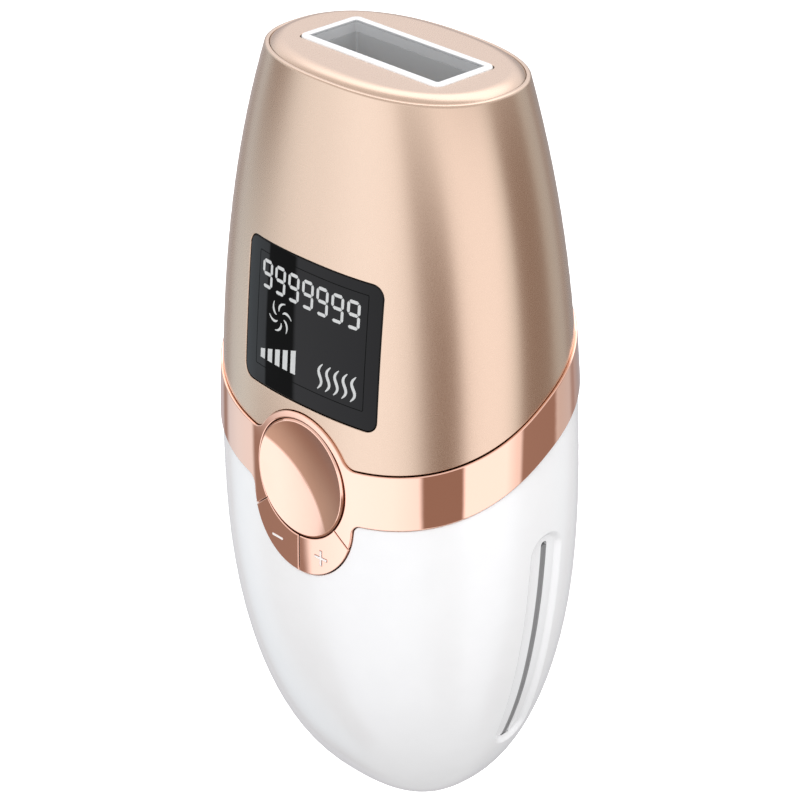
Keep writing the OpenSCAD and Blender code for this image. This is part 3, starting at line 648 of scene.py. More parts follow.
# name: (colour, its spread, roughness range, grain per metre, relief in metres, metallic, coat, specular)
FINISHES = {
    "champagne": ((0.68, 0.525, 0.40), 0.006, (0.25, 0.31), 9000, 6e-7, 1.0),
    "rose_mirror": ((0.95, 0.61, 0.475), 0.01, (0.025, 0.05), 400, 0.0, 1.0),
    "white_gloss": ((0.90, 0.90, 0.91), 0.008, (0.2, 0.26), 2500, 1e-6, 0.0, 0.12),
    "lens_black": ((0.0055, 0.0055, 0.0055), 0.05, (0.015, 0.03), 600, 0.0, 0.0, 0.0, 0.17),
    "foam_black": ((0.03, 0.03, 0.03), 0.2, (0.8, 0.95), 4000, 6e-5),
    "lcd_glass": ((0.04, 0.055, 0.06), 0.1, (0.05, 0.1), 900, 0.0, 0.0, 0.5),
    "white_matte": ((0.80, 0.80, 0.78), 0.02, (0.42, 0.55), 5000, 1e-5),
    "black_matte": ((0.028, 0.028, 0.03), 0.12, (0.42, 0.6), 5000, 1e-5),
    "slot_grey": ((0.25, 0.25, 0.255), 0.05, (0.35, 0.5), 4000, 8e-6),
    "board_green": ((0.015, 0.13, 0.06), 0.15, (0.25, 0.4), 3000, 1e-5, 0.0, 0.3),
    "steel": ((0.62, 0.62, 0.64), 0.04, (0.2, 0.32), 6000, 3e-6, 1.0),
    "ferrite": ((0.07, 0.07, 0.075), 0.12, (0.6, 0.8), 6000, 2e-5),
    "winding_tape": ((0.75, 0.47, 0.06), 0.08, (0.2, 0.35), 1500, 1e-5, 0.0, 0.3),
    "capacitor_sleeve": ((0.02, 0.03, 0.10), 0.12, (0.2, 0.35), 1500, 1e-5, 0.0, 0.3),
    "raw_aluminium": ((0.72, 0.73, 0.75), 0.04, (0.28, 0.42), 5000, 5e-6, 1.0),
    "brass_contact": ((0.82, 0.62, 0.26), 0.05, (0.2, 0.32), 4000, 3e-6, 1.0),
    "lead_red": ((0.5, 0.03, 0.02), 0.08, (0.35, 0.5), 3000, 5e-6),
    "lead_black": ((0.02, 0.02, 0.02), 0.1, (0.35, 0.5), 3000, 5e-6),
    "cartridge_grey": ((0.40, 0.41, 0.42), 0.02, (0.4, 0.5), 5000, 5e-6),
    # Grey for the white rim's inner wall: painted shade
    "rim_wall_painted_shade": ((0.50, 0.51, 0.525), 0.02, (0.3, 0.4), 4000, 2e-6),
    "lens_line": ((0.004, 0.004, 0.004), 0.05, (0.1, 0.15), 600, 0.0, 0.0, 0.0, 0.02),
    "key_mark": ((0.95, 0.91, 0.88), 0.01, (0.3, 0.4), 3000, 0.0, 0.1),
    # Dark plate under the key marks: painted shadow around the raised signs
    "mark_edge": ((0.36, 0.18, 0.13), 0.03, (0.35, 0.45), 3000, 0.0, 0.6),
}


def glass_material(name, tint, rough):
    """Clear tinted glass with faint uneven roughness."""
    material, web, shader = new_material(name)
    look = {"Base Color": web.blotches(300, 2, *shades(tint, 0.03)), "Transmission Weight": 1.0, "IOR": 1.46}
    look["Roughness"] = web.remap(web.noise(300, 2), 0.3, 0.7, rough, rough * 1.6)
    web.feed(shader, look)
    return material


def segment_material():
    """Pale display segments that glow faintly."""
    material, web, shader = new_material("display_segment")
    tint = web.blotches(1500, 2, (0.50, 0.51, 0.51), (0.55, 0.56, 0.56))
    look = {"Base Color": tint, "Emission Color": tint, "Emission Strength": 0.1}
    look["Roughness"] = web.remap(web.noise(1500, 2), 0.3, 0.7, 0.3, 0.4)
    web.feed(shader, look)
    return material


# The mirrored dish's painted reflection: axis of the unlit half of the set, and the tints painted into its
# colour, by cosine + 0.5
DISH_AXIS = (0.197, -0.682, 0.705)
DISH_PAINTED_REFLECTION = (
    (0.06, (0.34, 0.160, 0.102)),
    (0.20, (0.40, 0.186, 0.112)),
    (0.35, (0.47, 0.258, 0.168)),
    (0.51, (0.52, 0.294, 0.195)),
    (0.54, (0.95, 0.61, 0.475)),
)


def dish_material():
    """Rose mirror whose colour is painted dark where it would reflect the unlit half of the set: a painted
    reflection.
    """
    material, web, shader = new_material("dish_mirror")
    inputs = {0: web.coordinate("Reflection"), 1: DISH_AXIS}
    toward = web.node("VectorMath", inputs, operation="DOT_PRODUCT")
    facing = web.plus(toward.outputs["Value"], 0.5)
    # Base colour chosen by the reflected direction: painted reflection
    inputs = {"Factor": 1.0, "A": web.ramp(facing, DISH_PAINTED_REFLECTION)}
    inputs["B"] = web.blotches(400, 2, (0.985, 0.985, 0.985), (1, 1, 1))
    tint = web.node("Mix", inputs, data_type="RGBA", blend_type="MULTIPLY").outputs["Result"]
    rough = web.remap(facing, DISH_PAINTED_REFLECTION[-2][0], DISH_PAINTED_REFLECTION[-1][0], 0.4, 0.12)
    web.feed(shader, {"Base Color": tint, "Roughness": rough, "Metallic": 1.0})
    return material


def shade_lens(material):
    """Weakens the lens's reflection where it would show the dark gap between two lights of the set."""
    web = Web(material.node_tree)
    shader = material.node_tree.nodes["Principled BSDF"]
    azimuth, _ = web.direction(web.coordinate("Reflection"))
    full = shader.inputs["Specular IOR Level"].default_value
    loss = web.times(web.hump(azimuth, -60, -48, 0.7), 0.16)
    web.feed(shader, {"Specular IOR Level": web.math("SUBTRACT", full, loss)})


def make_materials():
    made = {name: finish_material(name, *look) for name, look in FINISHES.items()}
    shade_lens(made["lens_black"])
    made["filter_glass"] = glass_material("filter_glass", (0.95, 0.62, 0.30), 0.03)
    made["quartz"] = glass_material("quartz", (0.92, 0.95, 0.97), 0.02)
    made["segment"] = segment_material()
    made["dish_mirror"] = dish_material()
    return made


materials = make_materials()


# ---------- shells


def at_height(flat, z):
    """Level coordinates with a height."""
    return np.concatenate([flat, np.full((len(flat), 1), float(z))], 1)


def oval_normal(phi, w, d):
    """Outward direction of an oval's outline, level with the ground."""
    h = 1e-4
    along = oval(phi + h, w, d) - oval(phi - h, w, d)
    return at_height(unit(np.stack([along[:, 1], -along[:, 0]], 1)), 0)


def level_oval(phi, w, d, z):
    return at_height(oval(phi, w, d), z)


def sleeve():
    """Satin sleeve with a rolled lip at the cap seam and a window for the display."""
    skin = Skin()
    phi, z = top_edge(BAND_PROUD, SEAM)
    outer_low, inner_low = rolled_edge(skin, phi, z, 0, EDGE_ROLL, WALL)
    gap, corner_r = 0.12, 2.3
    window = rounded_rect(LENS_W + gap, LENS_H / 2 + gap, corner_r, LENS_MIDDLE, edge_step=1.2)
    phi, z, _ = front_loop(window[::-1], 0)
    outer_hole, inner_hole = rolled_edge(skin, phi, z, 0, 0.15, WALL)
    lip = 0.5
    lip_z = np.full(len(AROUND), SEAM_Z - lip)
    w, d = half_sizes(np.array(SEAM_Z - lip), 0)
    level = oval_normal(AROUND, w, d)
    foot = skin.ring(level_oval(AROUND, w, d, SEAM_Z - lip))
    outer_top = (foot, to_flat(surface(AROUND, lip_z)))
    inset_w, inset_d = w - CAP_W - lip, d - CAP_D - lip
    sections = []
    for t in np.radians([30, 60, 90]):
        back = 1 - math.cos(t)
        points = level_oval(AROUND, w - inset_w * back, d - inset_d * back, SEAM_Z - lip + lip * math.sin(t))
        sections.append((points, level * math.cos(t) + UP * math.sin(t)))
    for gap, drop, degrees in ((0.25, 0, 90), (0.12, 0.05, 135), (0.07, 0.18, 180)):
        t = math.radians(degrees)
        points = level_oval(AROUND, CAP_W + gap, CAP_D + gap, SEAM_Z - drop)
        sections.append((points, level * math.cos(t) + UP * math.sin(t)))
    last, _ = skin.sweep(foot, surface_normal(AROUND, lip_z), sections)
    seat_z = cap_low[2] - 0.1
    last, _ = skin.sweep(last, -level, [(level_oval(AROUND, CAP_W + 0.07, CAP_D + 0.07, seat_z), -level)])
    seat_z -= 0.3
    w, d = half_sizes(np.array(seat_z), -WALL)
    last, _ = skin.sweep(last, UPWARD, [(level_oval(AROUND, w, d, seat_z), UPWARD)])
    inner_top = (last, np.stack([AROUND * FLAT_R, np.full(len(AROUND), seat_z)], 1))
    fill_around(skin, outer_low, outer_top, [outer_hole], 2)
    fill_around(skin, inner_low, inner_top, [inner_hole], 3, depth=WALL)
    add_piece(skin_mesh("sleeve", skin), "housing", "champagne", "upper_shell")


def level_face(z, facing):
    """Functions from level coordinates to points and normals of a plane that faces up (1) or down (-1)."""
    return lambda spots: at_height(spots, z), lambda spots: np.tile(UP * facing, (len(spots), 1))


def cap():
    """Crowned cap with the cartridge opening."""
    skin = Skin()
    crown, foot_z = 2.4, SEAM_Z - 0.1
    bend = 2 * math.atan((cap_high[2] - foot_z) / crown)
    radius = crown / math.sin(bend)
    level = oval_normal(AROUND, CAP_W, CAP_D)

    def section(tilt):
        inset = crown - radius * math.sin(tilt)
        points = level_oval(AROUND, CAP_W - inset, CAP_D - inset, cap_high[2] - radius * (1 - math.cos(tilt)))
        return points, level * math.sin(tilt) + UP * math.cos(tilt)

    low = skin.ring(level_oval(AROUND, CAP_W, CAP_D, cap_low[2]))
    foot, _ = skin.sweep(low, level, [(level_oval(AROUND, CAP_W, CAP_D, foot_z), level)])
    tilts = np.linspace(bend, 0, 13)[1:]
    last, _ = skin.sweep(foot, section(bend)[1], [section(tilt) for tilt in tilts])
    gap, bevel = 0.2, 0.15
    outline = rounded_rect(rim_high[0] + gap, rim_high[1] + gap, 1.7, edge_step=1.5)[::-1]
    travel = np.roll(outline, -1, 0) - np.roll(outline, 1, 0)
    away = at_height(unit(np.stack([travel[:, 1], -travel[:, 0]], 1)), 0)
    depth = cap_high[2] - cap_low[2]
    top, base = roll(skin, at_height(outline, cap_high[2]), UP, away, bevel, depth, (45, 90))
    rings = [(last, oval(AROUND, CAP_W - crown, CAP_D - crown)), (top[0], top[1][:, :2])]
    skin.fill(rings, 2, *level_face(cap_high[2], 1))
    rings = [(low, oval(AROUND, CAP_W, CAP_D)), (base[0], outline)]
    skin.fill(rings, 3, *level_face(cap_low[2], -1))
    add_piece(skin_mesh("cap", skin), "housing", "champagne", "top_cap")


def band():
    """Mirror band with its collar, open at the keys."""
    skin = Skin()
    loops = [(*ring_lower_edge(BAND_PROUD), True), (*top_edge(BAND_PROUD, 0), False)]
    panel(skin, loops, BAND_PROUD, BAND_PROUD + BAND_DEPTH, 0.22, 1.5, around=True)
    add_piece(skin_mesh("band", skin), "housing", "rose_mirror", "trim_ring")


def stadium(low_z, high_z, half, around_end=24, along=60):
    """Anticlockwise outline of an upright slot in a side view, always with the same number of points."""
    t = np.linspace(0, math.pi, around_end + 1)
    end = np.stack([half * np.cos(t), half * np.sin(t)], 1)
    rise = np.linspace(low_z + half, high_z - half, along + 1)[1:-1]
    edge = np.stack([np.full(len(rise), half), rise], 1)
    return np.concatenate([end + [0, high_z - half], edge[::-1] * [-1, 1], -end + [0, low_z + half], edge])


def air_recess(skin, side):
    """Soft-edged pocket with an air slot through it. Returns the pocket's rim and the slot's back ring."""
    flank = 1.35

    def section(t):
        shrink = flank * t
        drop = RECESS_DEPTH * (3 * t**2 - 2 * t**3)
        lean = RECESS_DEPTH * (6 * t - 6 * t**2) / flank
        outline = stadium(RECESS_Z[0] + shrink, RECESS_Z[1] - shrink, RECESS_HALF - shrink)
        outline = outline * [side, 1] + [VENT_Y, 0]
        phi = side_phi(outline[:, 0], outline[:, 1], -drop, side)
        points = surface(phi, outline[:, 1], -drop)
        facing = surface_normal(phi, outline[:, 1], -drop)
        travel = unit(np.roll(points, -1, 0) - np.roll(points, 1, 0))
        return points, unit(facing + np.cross(facing, travel) * lean)

    sections = [section(t) for t in np.linspace(0, 1, 8)]
    rim_points, rim_normals = sections[0]
    rim = skin.ring(rim_points)
    last, _ = skin.sweep(rim, rim_normals, sections[1:])
    slot = stadium(slot_low[2] - SLOT_HALF - 0.1, slot_high[2] + SLOT_HALF + 0.1, SLOT_HALF)
    slot = slot[::-1] * [side, 1] + [VENT_Y, 0]
    phi = side_phi(slot[:, 0], slot[:, 1], -RECESS_DEPTH, side)
    top, back = rolled_edge(skin, phi, slot[:, 1], -RECESS_DEPTH, 0.05, WALL - RECESS_DEPTH)
    skin.fill([(last, to_flat(sections[-1][0])), top], 1.0, *on_surface(-RECESS_DEPTH))
    return (rim, to_flat(rim_points)), back


def cup():
    """White cup with an air recess on each side and the power socket's hole at its tip."""
    skin = Skin()
    cut_z, hole_r = 12.0, 4.15
    phi, z = bottom_edge(BAND_PROUD, CUP_SEAM)
    outer_high, inner_high = rolled_edge(skin, phi, z, 0, EDGE_ROLL, WALL, left=False)
    recesses = [air_recess(skin, side) for side in (-1, 1)]

    def level(height, off=0.0):
        z = np.full(len(AROUND), float(height))
        return surface(AROUND, z, off), surface_normal(AROUND, z, off)

    cut_flat = np.stack([AROUND * FLAT_R, np.full(len(AROUND), cut_z)], 1)
    points, normals = level(cut_z)
    outer_low = skin.ring(points)
    heights = (10, 8, 6.4, 5, 3.9, 3, 2.2, 1.5)
    last = skin.sweep(outer_low, normals, [level(height) for height in heights])
    start, start_normal = level(heights[-1])
    circle = np.stack([np.sin(AROUND), -np.cos(AROUND), 0 * AROUND], 1)
    rim = circle * (hole_r + 0.3) + UP * 0.3
    sections = []
    for share in (0.35, 0.7, 1.0):
        points = start + (rim - start) * share
        points[:, 2] = start[:, 2] + (rim[:, 2] - start[:, 2]) * math.sin(share * math.pi / 2)
        sections.append((points, unit(start_normal * (1 - share) - UP * share)))
    sections.append((circle * (hole_r + 0.08) + UP * 0.38, unit(-circle - UP)))
    sections += [(circle * hole_r + UP * height, -circle) for height in (0.6, 2.6)]
    last, _ = skin.sweep(*last, sections)
    lining = [level(height, -WALL) for height in (3.4, 4.2, 5.5, 7, 9, cut_z)]
    inner_low, _ = skin.sweep(last, UPWARD, [(points, -normals) for points, normals in lining])
    pockets, backs = zip(*recesses)
    fill_around(skin, (outer_low, cut_flat), outer_high, pockets, 2)
    fill_around(skin, (inner_low, cut_flat), inner_high, backs, 3, depth=WALL)
    add_piece(skin_mesh("cup", skin), "housing", "white_gloss", "lower_shell")


# ---------- controls


def lathe(skin, runs, place, turn_normal, count=128):
    """A turned solid from smooth runs of (radius, depth, radial normal, depth normal), from hub to hub."""
    turn = np.linspace(0, TURN, count + 1)[:-1]
    circle = np.stack([np.cos(turn), np.sin(turn)], 1)

    def section(radius, depth, radial, deep):
        return place(circle * radius, depth), turn_normal(circle * radial, deep)

    def close(ring, normals, depth, deep):
        hub = np.zeros((1, 2))
        skin.fan(ring, place(hub, depth)[0], normals, turn_normal(hub, deep)[0])

    points, normals = section(*runs[0][1])
    ring = skin.ring(points)
    close(ring, normals, runs[0][0][1], runs[0][0][3])
    ring, _ = skin.sweep(ring, normals, [section(*row) for row in runs[0][2:]])
    for run in runs[1:-1]:
        ring, _ = skin.sweep(ring, section(*run[0])[1], [section(*row) for row in run[1:]])
    close(ring, section(*runs[-1][0])[1], runs[-1][1][1], runs[-1][1][3])


def flash_button():
    """Dished mirror disc with a thin raised lip."""
    skin = Skin()
    lip_r = BUTTON_R - 0.5
    dish = 1.3
    dish_r = (lip_r**2 + dish**2) / (2 * dish)
    face_y = float(front_y(np.array(0.0), np.array(BUTTON_Z), BAND_PROUD)) + 0.1
    c, s = math.cos(BUTTON_TILT), math.sin(BUTTON_TILT)
    inward = np.array([0, c, -s])
    upward = np.array([0, s, c])
    right = np.array([1.0, 0, 0])
    centre = np.array([0, face_y, BUTTON_Z])

    def place(flat, depth):
        return centre + flat[:, :1] * right + flat[:, 1:] * upward + depth * inward

    def turn_normal(flat, nd):
        return flat[:, :1] * right + flat[:, 1:] * upward + nd * inward

    bowl = []
    for r in np.linspace(0, lip_r, 21):
        drop = math.sqrt(dish_r**2 - r**2) - (dish_r - dish)
        bowl.append((r, drop, -r / dish_r, -math.sqrt(1 - (r / dish_r) ** 2)))
    edge, back = 0.25, 2.4
    q = math.sqrt(0.5)
    runs = [
        bowl,
        [(lip_r, 0, -0.35, -0.94), (lip_r + 0.12, -0.02, 0, -1), (BUTTON_R - edge, 0.02, 0.4, -0.9)],
        [(BUTTON_R - edge, 0.02, q, -q), (BUTTON_R, edge, q, -q)],
        [(BUTTON_R, edge, 1, 0), (BUTTON_R, back, 1, 0)],
        [(BUTTON_R, back, 0, 1), (0, back, 0, 1)],
    ]
    lathe(skin, runs, place, turn_normal)
    add_piece(skin_mesh("flash_button_face", skin), "flash_button", "dish_mirror", "flash_button")


def sign_outline(plus, a, b):
    """Anticlockwise outline of a plus or minus sign with half length a and half thickness b."""
    if not plus:
        return rounded_rect(a, b, 0.1, corner_points=3)
    arm = np.array([(a, -b), (a, b), (b, b)])
    quarter = np.array([[0, 1], [-1, 0]])
    return np.concatenate([arm @ np.linalg.matrix_power(quarter, k) for k in range(4)])


def key_post(skin, hub, post_y, tip_y):
    """Round post behind a key, along Y, with a bevelled tip."""
    turn = np.linspace(0, TURN, 25)[:-1]
    circle = np.stack([np.cos(turn), 0 * turn, np.sin(turn)], 1)
    back = np.array([0, 1.0, 0])
    post_r, bevel = 1.6, 0.3
    start = skin.ring(hub + circle * post_r + back * post_y)
    side, _ = skin.sweep(start, circle, [(hub + circle * post_r + back * (tip_y - bevel), circle)])
    slant = unit(circle + back)
    end, _ = skin.sweep(side, slant, [(hub + circle * (post_r - bevel) + back * tip_y, slant)])
    for ring, y, facing in ((end, tip_y, back), (start, post_y, -back)):
        skin.fan(ring, hub + back * y, np.tile(facing, (len(turn), 1)), facing)


def level_key(side, body):
    """A key with its raised mark, a wider dark plate under the mark as painted shadow, and a post behind it.
    """
    skin = Skin()
    x, z = side * abs(key_axis[0]), key_axis[2]
    loop = front_loop(key_outline(side), BAND_PROUD)
    panel(skin, [loop], BAND_PROUD, BAND_PROUD + BAND_DEPTH, 0.16, 1.2)
    post_y = float(front_y(np.array(abs(x)), np.array(z), 0)) + 1
    key_post(skin, np.array([x, 0, z]), post_y, node_box(body)[1][1])
    add_piece(skin_mesh(body + "_face", skin), body, "rose_mirror", body)
    # The wider dark plate under each mark is painted shadow; the pale plate on top is the mark
    marks = (("_mark_edge", 0.12, 0.03, "mark_edge"), ("_mark", 0.0, 0.14, "key_mark"))
    for name, grow, raised, finish in marks:
        mark = Skin()
        outline = sign_outline(side > 0, 1.4 + grow, 0.19 + grow) + (x, z)
        panel(mark, [front_loop(outline, BAND_PROUD)], BAND_PROUD + raised, 0.2, 0.02, None)
        add_piece(skin_mesh(body + name, mark), body, finish)


# ---------- display


def lens_spot(x, v):
    """A place on the lens from x and the share of its height below the upper edge."""
    return np.array([x, lens_high[2] - v * LENS_H])


def lens():
    """Black glass window with a fine border line."""
    skin = Skin()
    outline = rounded_rect(LENS_W, LENS_H / 2, 2.2, LENS_MIDDLE, edge_step=1.2)
    panel(skin, [front_loop(outline, LENS_OFF)], LENS_OFF, 1.25, 0.25, 1.5)
    add_piece(skin_mesh("display_window", skin), "housing", "lens_black", "display_lens")
    line, thick = Skin(), 0.14
    left, right, low, high = -LENS_W + 3.2, LENS_W - 2.8, lens_low[2] + 3.3, lens_high[2] - 2.0
    w, h = (right - left) / 2, (high - low) / 2
    centre = ((left + right) / 2, (low + high) / 2)
    outer = rounded_rect(w, h, 0.3, centre, 3, 1.2)
    inner = rounded_rect(w - thick, h - thick, 0.2, centre, 3, 1.2)[::-1]
    loops = [front_loop(outer, LENS_OFF), front_loop(inner, LENS_OFF)]
    panel(line, loops, LENS_OFF + 0.012, 0.03, 0.004, None)
    add_piece(skin_mesh("display_border", line), "housing", "lens_line")


def segment_plate(skin, outline):
    """One thin raised plate on the lens."""
    panel(skin, [front_loop(outline, LENS_OFF)], LENS_OFF + 0.03, 0.06, 0.01, None)


def digit(skin, x, top, base, width, thick):
    """A seven-segment 9 with pointed segments."""
    half = thick / 2
    left, right = x - width / 2 + half, x + width / 2 - half
    middle = (top + base) / 2
    top, base = top - half, base + half
    gap = 0.09

    def bar(a, b):
        a, b = np.array(a), np.array(b)
        along = unit(b - a)
        across = np.array([-along[1], along[0]]) * half
        a, b = a + along * gap, b - along * gap
        points = [a, a + along * half - across, b - along * half - across, b]
        return np.array(points + [b - along * half + across, a + along * half + across])

    bars = [((left, top), (right, top)), ((left, middle), (right, middle)), ((left, base), (right, base))]
    bars += [((left, middle), (left, top)), ((right, middle), (right, top)), ((right, base), (right, middle))]
    for a, b in bars:
        segment_plate(skin, bar(a, b))


def tapered_stroke(points, widths):
    """Anticlockwise outline of a stroke along points with half widths."""
    along = unit(np.gradient(points, axis=0))
    across = np.stack([-along[:, 1], along[:, 0]], 1) * widths[:, None]
    return np.concatenate([points - across, (points + across)[::-1]])


def ensure_anticlockwise(outline):
    a, b = outline, np.roll(outline, -1, 0)
    area = (a[:, 0] * b[:, 1] - a[:, 1] * b[:, 0]).sum()
    return outline if area > 0 else outline[::-1]


def counter(skin):
    """Seven digits on a line that falls a little to the right."""
    for k in range(7):
        drop = 0.5 * k / 6
        top, base = lens_spot(0, 0.1225)[1] - drop, lens_spot(0, 0.318)[1] - drop
        digit(skin, -10.7 + 21.3 * k / 6, top, base, 2.85, 0.6)


def fan_symbol(skin):
    """Six thin blades that bend clockwise."""
    hub = lens_spot(-6.72, 0.468)
    t = np.linspace(0, 1, 14)
    for k in range(6):
        angle = math.radians(60 * k + 5.6) + 0.78 * (1 - t**1.5)
        radius = 1.0 + 1.95 * t
        path = hub + np.stack([radius * np.cos(angle), radius * np.sin(angle)], 1)
        widths = 0.03 + 0.2 * np.sin(math.pi * np.clip(t * 0.9 + 0.05, 0, 1))
        segment_plate(skin, ensure_anticlockwise(tapered_stroke(path, widths)))


def level_bars(skin):
    """Five bars under one rising line."""
    floor_z = lens_spot(0, 0.812)[1]
    for k in range(5):
        x = -11.77 + 2.06 * k
        tops = [floor_z + 1.55 + 0.3 * (at + 11.8) for at in (x, x + 1.24)]
        segment_plate(skin, np.array([(x, floor_z), (x + 1.24, floor_z), (x + 1.24, tops[1]), (x, tops[0])]))


def heat_waves(skin):
    """Five rising waves, thicker in the middle."""
    t = np.linspace(0, 1, 25)
    high, low = lens_spot(0, 0.651)[1], lens_spot(0, 0.832)[1]
    for k in range(5):
        x = 3.84 + 1.885 * k + 0.52 * np.cos(math.pi * t) - 0.7 * np.sin(TURN * t)
        path = np.stack([x, high + (low - high) * t], 1)
        widths = 0.07 + 0.26 * np.sin(math.pi * t) ** 0.8
        segment_plate(skin, ensure_anticlockwise(tapered_stroke(path, widths)))


def display_graphics():
    """Counter digits, fan symbol, level bars and heat waves."""
    skin = Skin()
    for draw in (counter, fan_symbol, level_bars, heat_waves):
        draw(skin)
    add_piece(skin_mesh("display_graphics", skin), "housing", "segment")


# ---------- cartridge and vents


def loft_mesh(name, loops, close=True, sharp=0.6):
    """A solid through equal loops; close joins the last loop to the first, otherwise both ends get a cap."""
    count, rows = len(loops[0]), len(loops)
    faces = []
    for a in range(rows if close else rows - 1):
        b = (a + 1) % rows
        for i in range(count):
            j = (i + 1) % count
            faces.append((a * count + i, a * count + j, b * count + j, b * count + i))
    if not close:
        faces += [tuple(range(count))[::-1], tuple(range((rows - 1) * count, rows * count))]
    mesh = new_mesh(name, np.concatenate(loops), faces)
    work = bmesh.new()
    work.from_mesh(mesh)
    bmesh.ops.recalc_face_normals(work, faces=work.faces)
    work.to_mesh(mesh)
    work.free()
    mesh.set_sharp_from_angle(angle=sharp)
    return mesh


def rect_loop(w, d, r, z):
    return at_height(rounded_rect(w, d, r, corner_points=6), z)


def cartridge_frame():
    """White rim around the lamp window, its edges rolled and a fine groove in its wall; its inner wall is
    coloured grey as painted shade inside the opening.
    """
    w, d, top = rim_high
    wall, outer_r, outer_roll, inner_r, inner_roll = 1.3, 1.5, 0.35, 0.4, 0.2
    turned = [(1 - math.cos(t), math.sin(t) - 1) for t in np.radians([0, 30, 60, 90])]
    outside = [(0, rim_low[2])] + [(outer_roll * back, top + outer_roll * down) for back, down in turned]
    groove = [(-inset, top - depth) for depth, inset in ((0.45, 0), (0.47, 0.15), (0.58, 0.15), (0.6, 0))]
    hole = [(-inner_roll * back, top + inner_roll * down) for back, down in turned[::-1]]
    hole += groove + [(0, rim_low[2])]
    loops = [rect_loop(w - inset, d - inset, outer_r - inset, z) for inset, z in outside]
    w, d = w - wall, d - wall
    loops += [rect_loop(w - inset, d - inset, inner_r - inset, z) for inset, z in hole]
    wall_starts = len(outside) + len(turned) - 1
    mesh = loft_mesh("cartridge_rim", loops)
    add_piece(mesh, "lamp_cartridge", "white_gloss", "cartridge_frame")
    # The inner wall gets a grey finish: painted shade inside the opening
    mesh.materials.append(materials["rim_wall_painted_shade"])
    count = len(loops[0])
    for face in mesh.polygons[wall_starts * count : (len(loops) - 1) * count]:
        face.material_index = 1


def cartridge_body():
    """Heat-proof box with a deep inner wall and a closed floor."""
    w, d, top = box_high
    inner_w, inner_d = w - 0.95, d - 0.95
    low = box_low[2]
    loops = [rect_loop(w - 0.4, d - 0.4, 0.5, low), rect_loop(w, d, 0.7, low + 0.4)]
    loops += [rect_loop(w, d, 0.7, top - 0.1), rect_loop(w - 0.1, d - 0.1, 0.6, top)]
    loops += [rect_loop(inner_w + 0.1, inner_d + 0.1, 0.5, top), rect_loop(inner_w, inner_d, 0.4, top - 0.1)]
    loops += [rect_loop(inner_w, inner_d, 0.4, low + 2)]
    box = loft_mesh("cartridge_box", loops, close=False)
    add_piece(box, "lamp_cartridge", "cartridge_grey", "cartridge_body")


def vent_strip(side, name, node):
    """Grey strip behind an air slot, curved with the wall, with a shallow groove along its middle."""
    half = SLOT_HALF - 0.03
    groove = half / 3
    flank = [(-3.2, half), (-0.98, half), (-0.98, groove), (-1.05, groove * 0.8)]
    profile = [(off, -y) for off, y in flank] + flank[::-1]
    loops = []
    for z in np.linspace(slot_low[2] + 0.02, slot_high[2] - 0.02, 33):
        height = np.array([z])
        row = []
        for off, y in profile:
            phi = side_phi(np.array([VENT_Y + y]), height, off, side)
            row.append(surface(phi, height, off)[0])
        loops.append(np.array(row))
    add_piece(loft_mesh(name, loops, close=False, sharp=0.5), "housing", "slot_grey", node)


# ---------- carried-over nodes


def dress_nodes():
    """Gives each CAD node that is still shown its slot's finish."""
    for part in frame["record"]["subparts"]:
        piece, slot = frame["nodes"][part["node"]], part["material_slot"]
        if not piece.hide_render:
            piece.data.materials.clear()
            piece.data.materials.append(materials[slot])


# ---------- studio


# Dark cards around the set, seen only in reflections: azimuth from, to, edge softness,
# lowest and highest elevation, elevation softness, strength, and drift of azimuth per degree of elevation
# above DRIFT_FROM
DRIFT_FROM = -25.0
CARDS = (
    (11, 45.5, 2.5, -60, -2, 8, 1.0, -0.65),
    (111, 144, 3, -60, 12, 8, 0.95, 0.0),
    (-66, -46, 1.5, -60, -23, 1.5, 0.95, 0.0),
    (-82, -58, 5, -15, 4, 3, 1.0, 0.0),
    (-105, -95, 4, -60, -10, 8, 0.85, 0.0),
    (172, 182, 4, -60, 10, 10, 0.5, 0.0),
)
# Light of the room in reflections by azimuth: red, green, blue
ROOM = (
    (-180, (0.50, 0.46, 0.47)),
    (-160, (0.42, 0.42, 0.45)),
    (-140, (0.55, 0.52, 0.55)),
    (-118, (0.56, 0.53, 0.57)),
    (-104, (0.60, 0.62, 0.68)),
    (-90, (0.76, 0.84, 0.92)),
    (-80, (0.86, 0.97, 1.06)),
    (-66, (0.92, 1.00, 1.08)),
    (-45, (1.28, 1.28, 1.36)),
    (-29, (1.45, 1.46, 1.57)),
    (-8, (1.42, 1.40, 1.48)),
    (8, (1.25, 1.24, 1.30)),
    (50, (1.43, 1.36, 1.42)),
    (92, (1.43, 1.36, 1.42)),
    (105, (1.05, 1.03, 1.05)),
    (120, (0.90, 0.85, 0.86)),
    (150, (0.65, 0.65, 0.66)),
    (166, (0.64, 0.66, 0.69)),
    (180, (0.50, 0.46, 0.47)),
)
# What the wall colours are divided by to fit in a colour ramp
ROOM_TOP = 2.0
# The same above the walls in front and behind, straight above behind, below, and on the cards
ABOVE_FRONT = (0.86, 0.81, 0.83)
ABOVE_BACK = (1.20, 1.20, 1.30)
GLOW = (2.1, 2.05, 2.2)
BELOW = (0.85, 0.84, 0.84)
DARK = (0.32, 0.22, 0.18)
# Diffuse light of the room: its level from below, and its gain towards the top
SHADE_LEVEL, SHADE_GAIN = 0.47, 0.56


def dark_cards(web, azimuth, around, elevation):
    """How far a direction falls on a dark card, 0 to 1."""
    dark = None
    for az_from, az_to, az_soft, el_from, el_to, el_soft, strength, drift in CARDS:
        at = around if az_to > 180 else azimuth
        if drift:
            at = web.plus(at, web.times(web.plus(elevation, -DRIFT_FROM), -drift))
        card = web.hump(at, az_from, az_to, az_soft)
        card = web.times(card, web.hump(elevation, el_from, el_to, el_soft))
        card = web.times(card, strength)
        dark = card if dark is None else web.math("MAXIMUM", dark, card)
    return dark


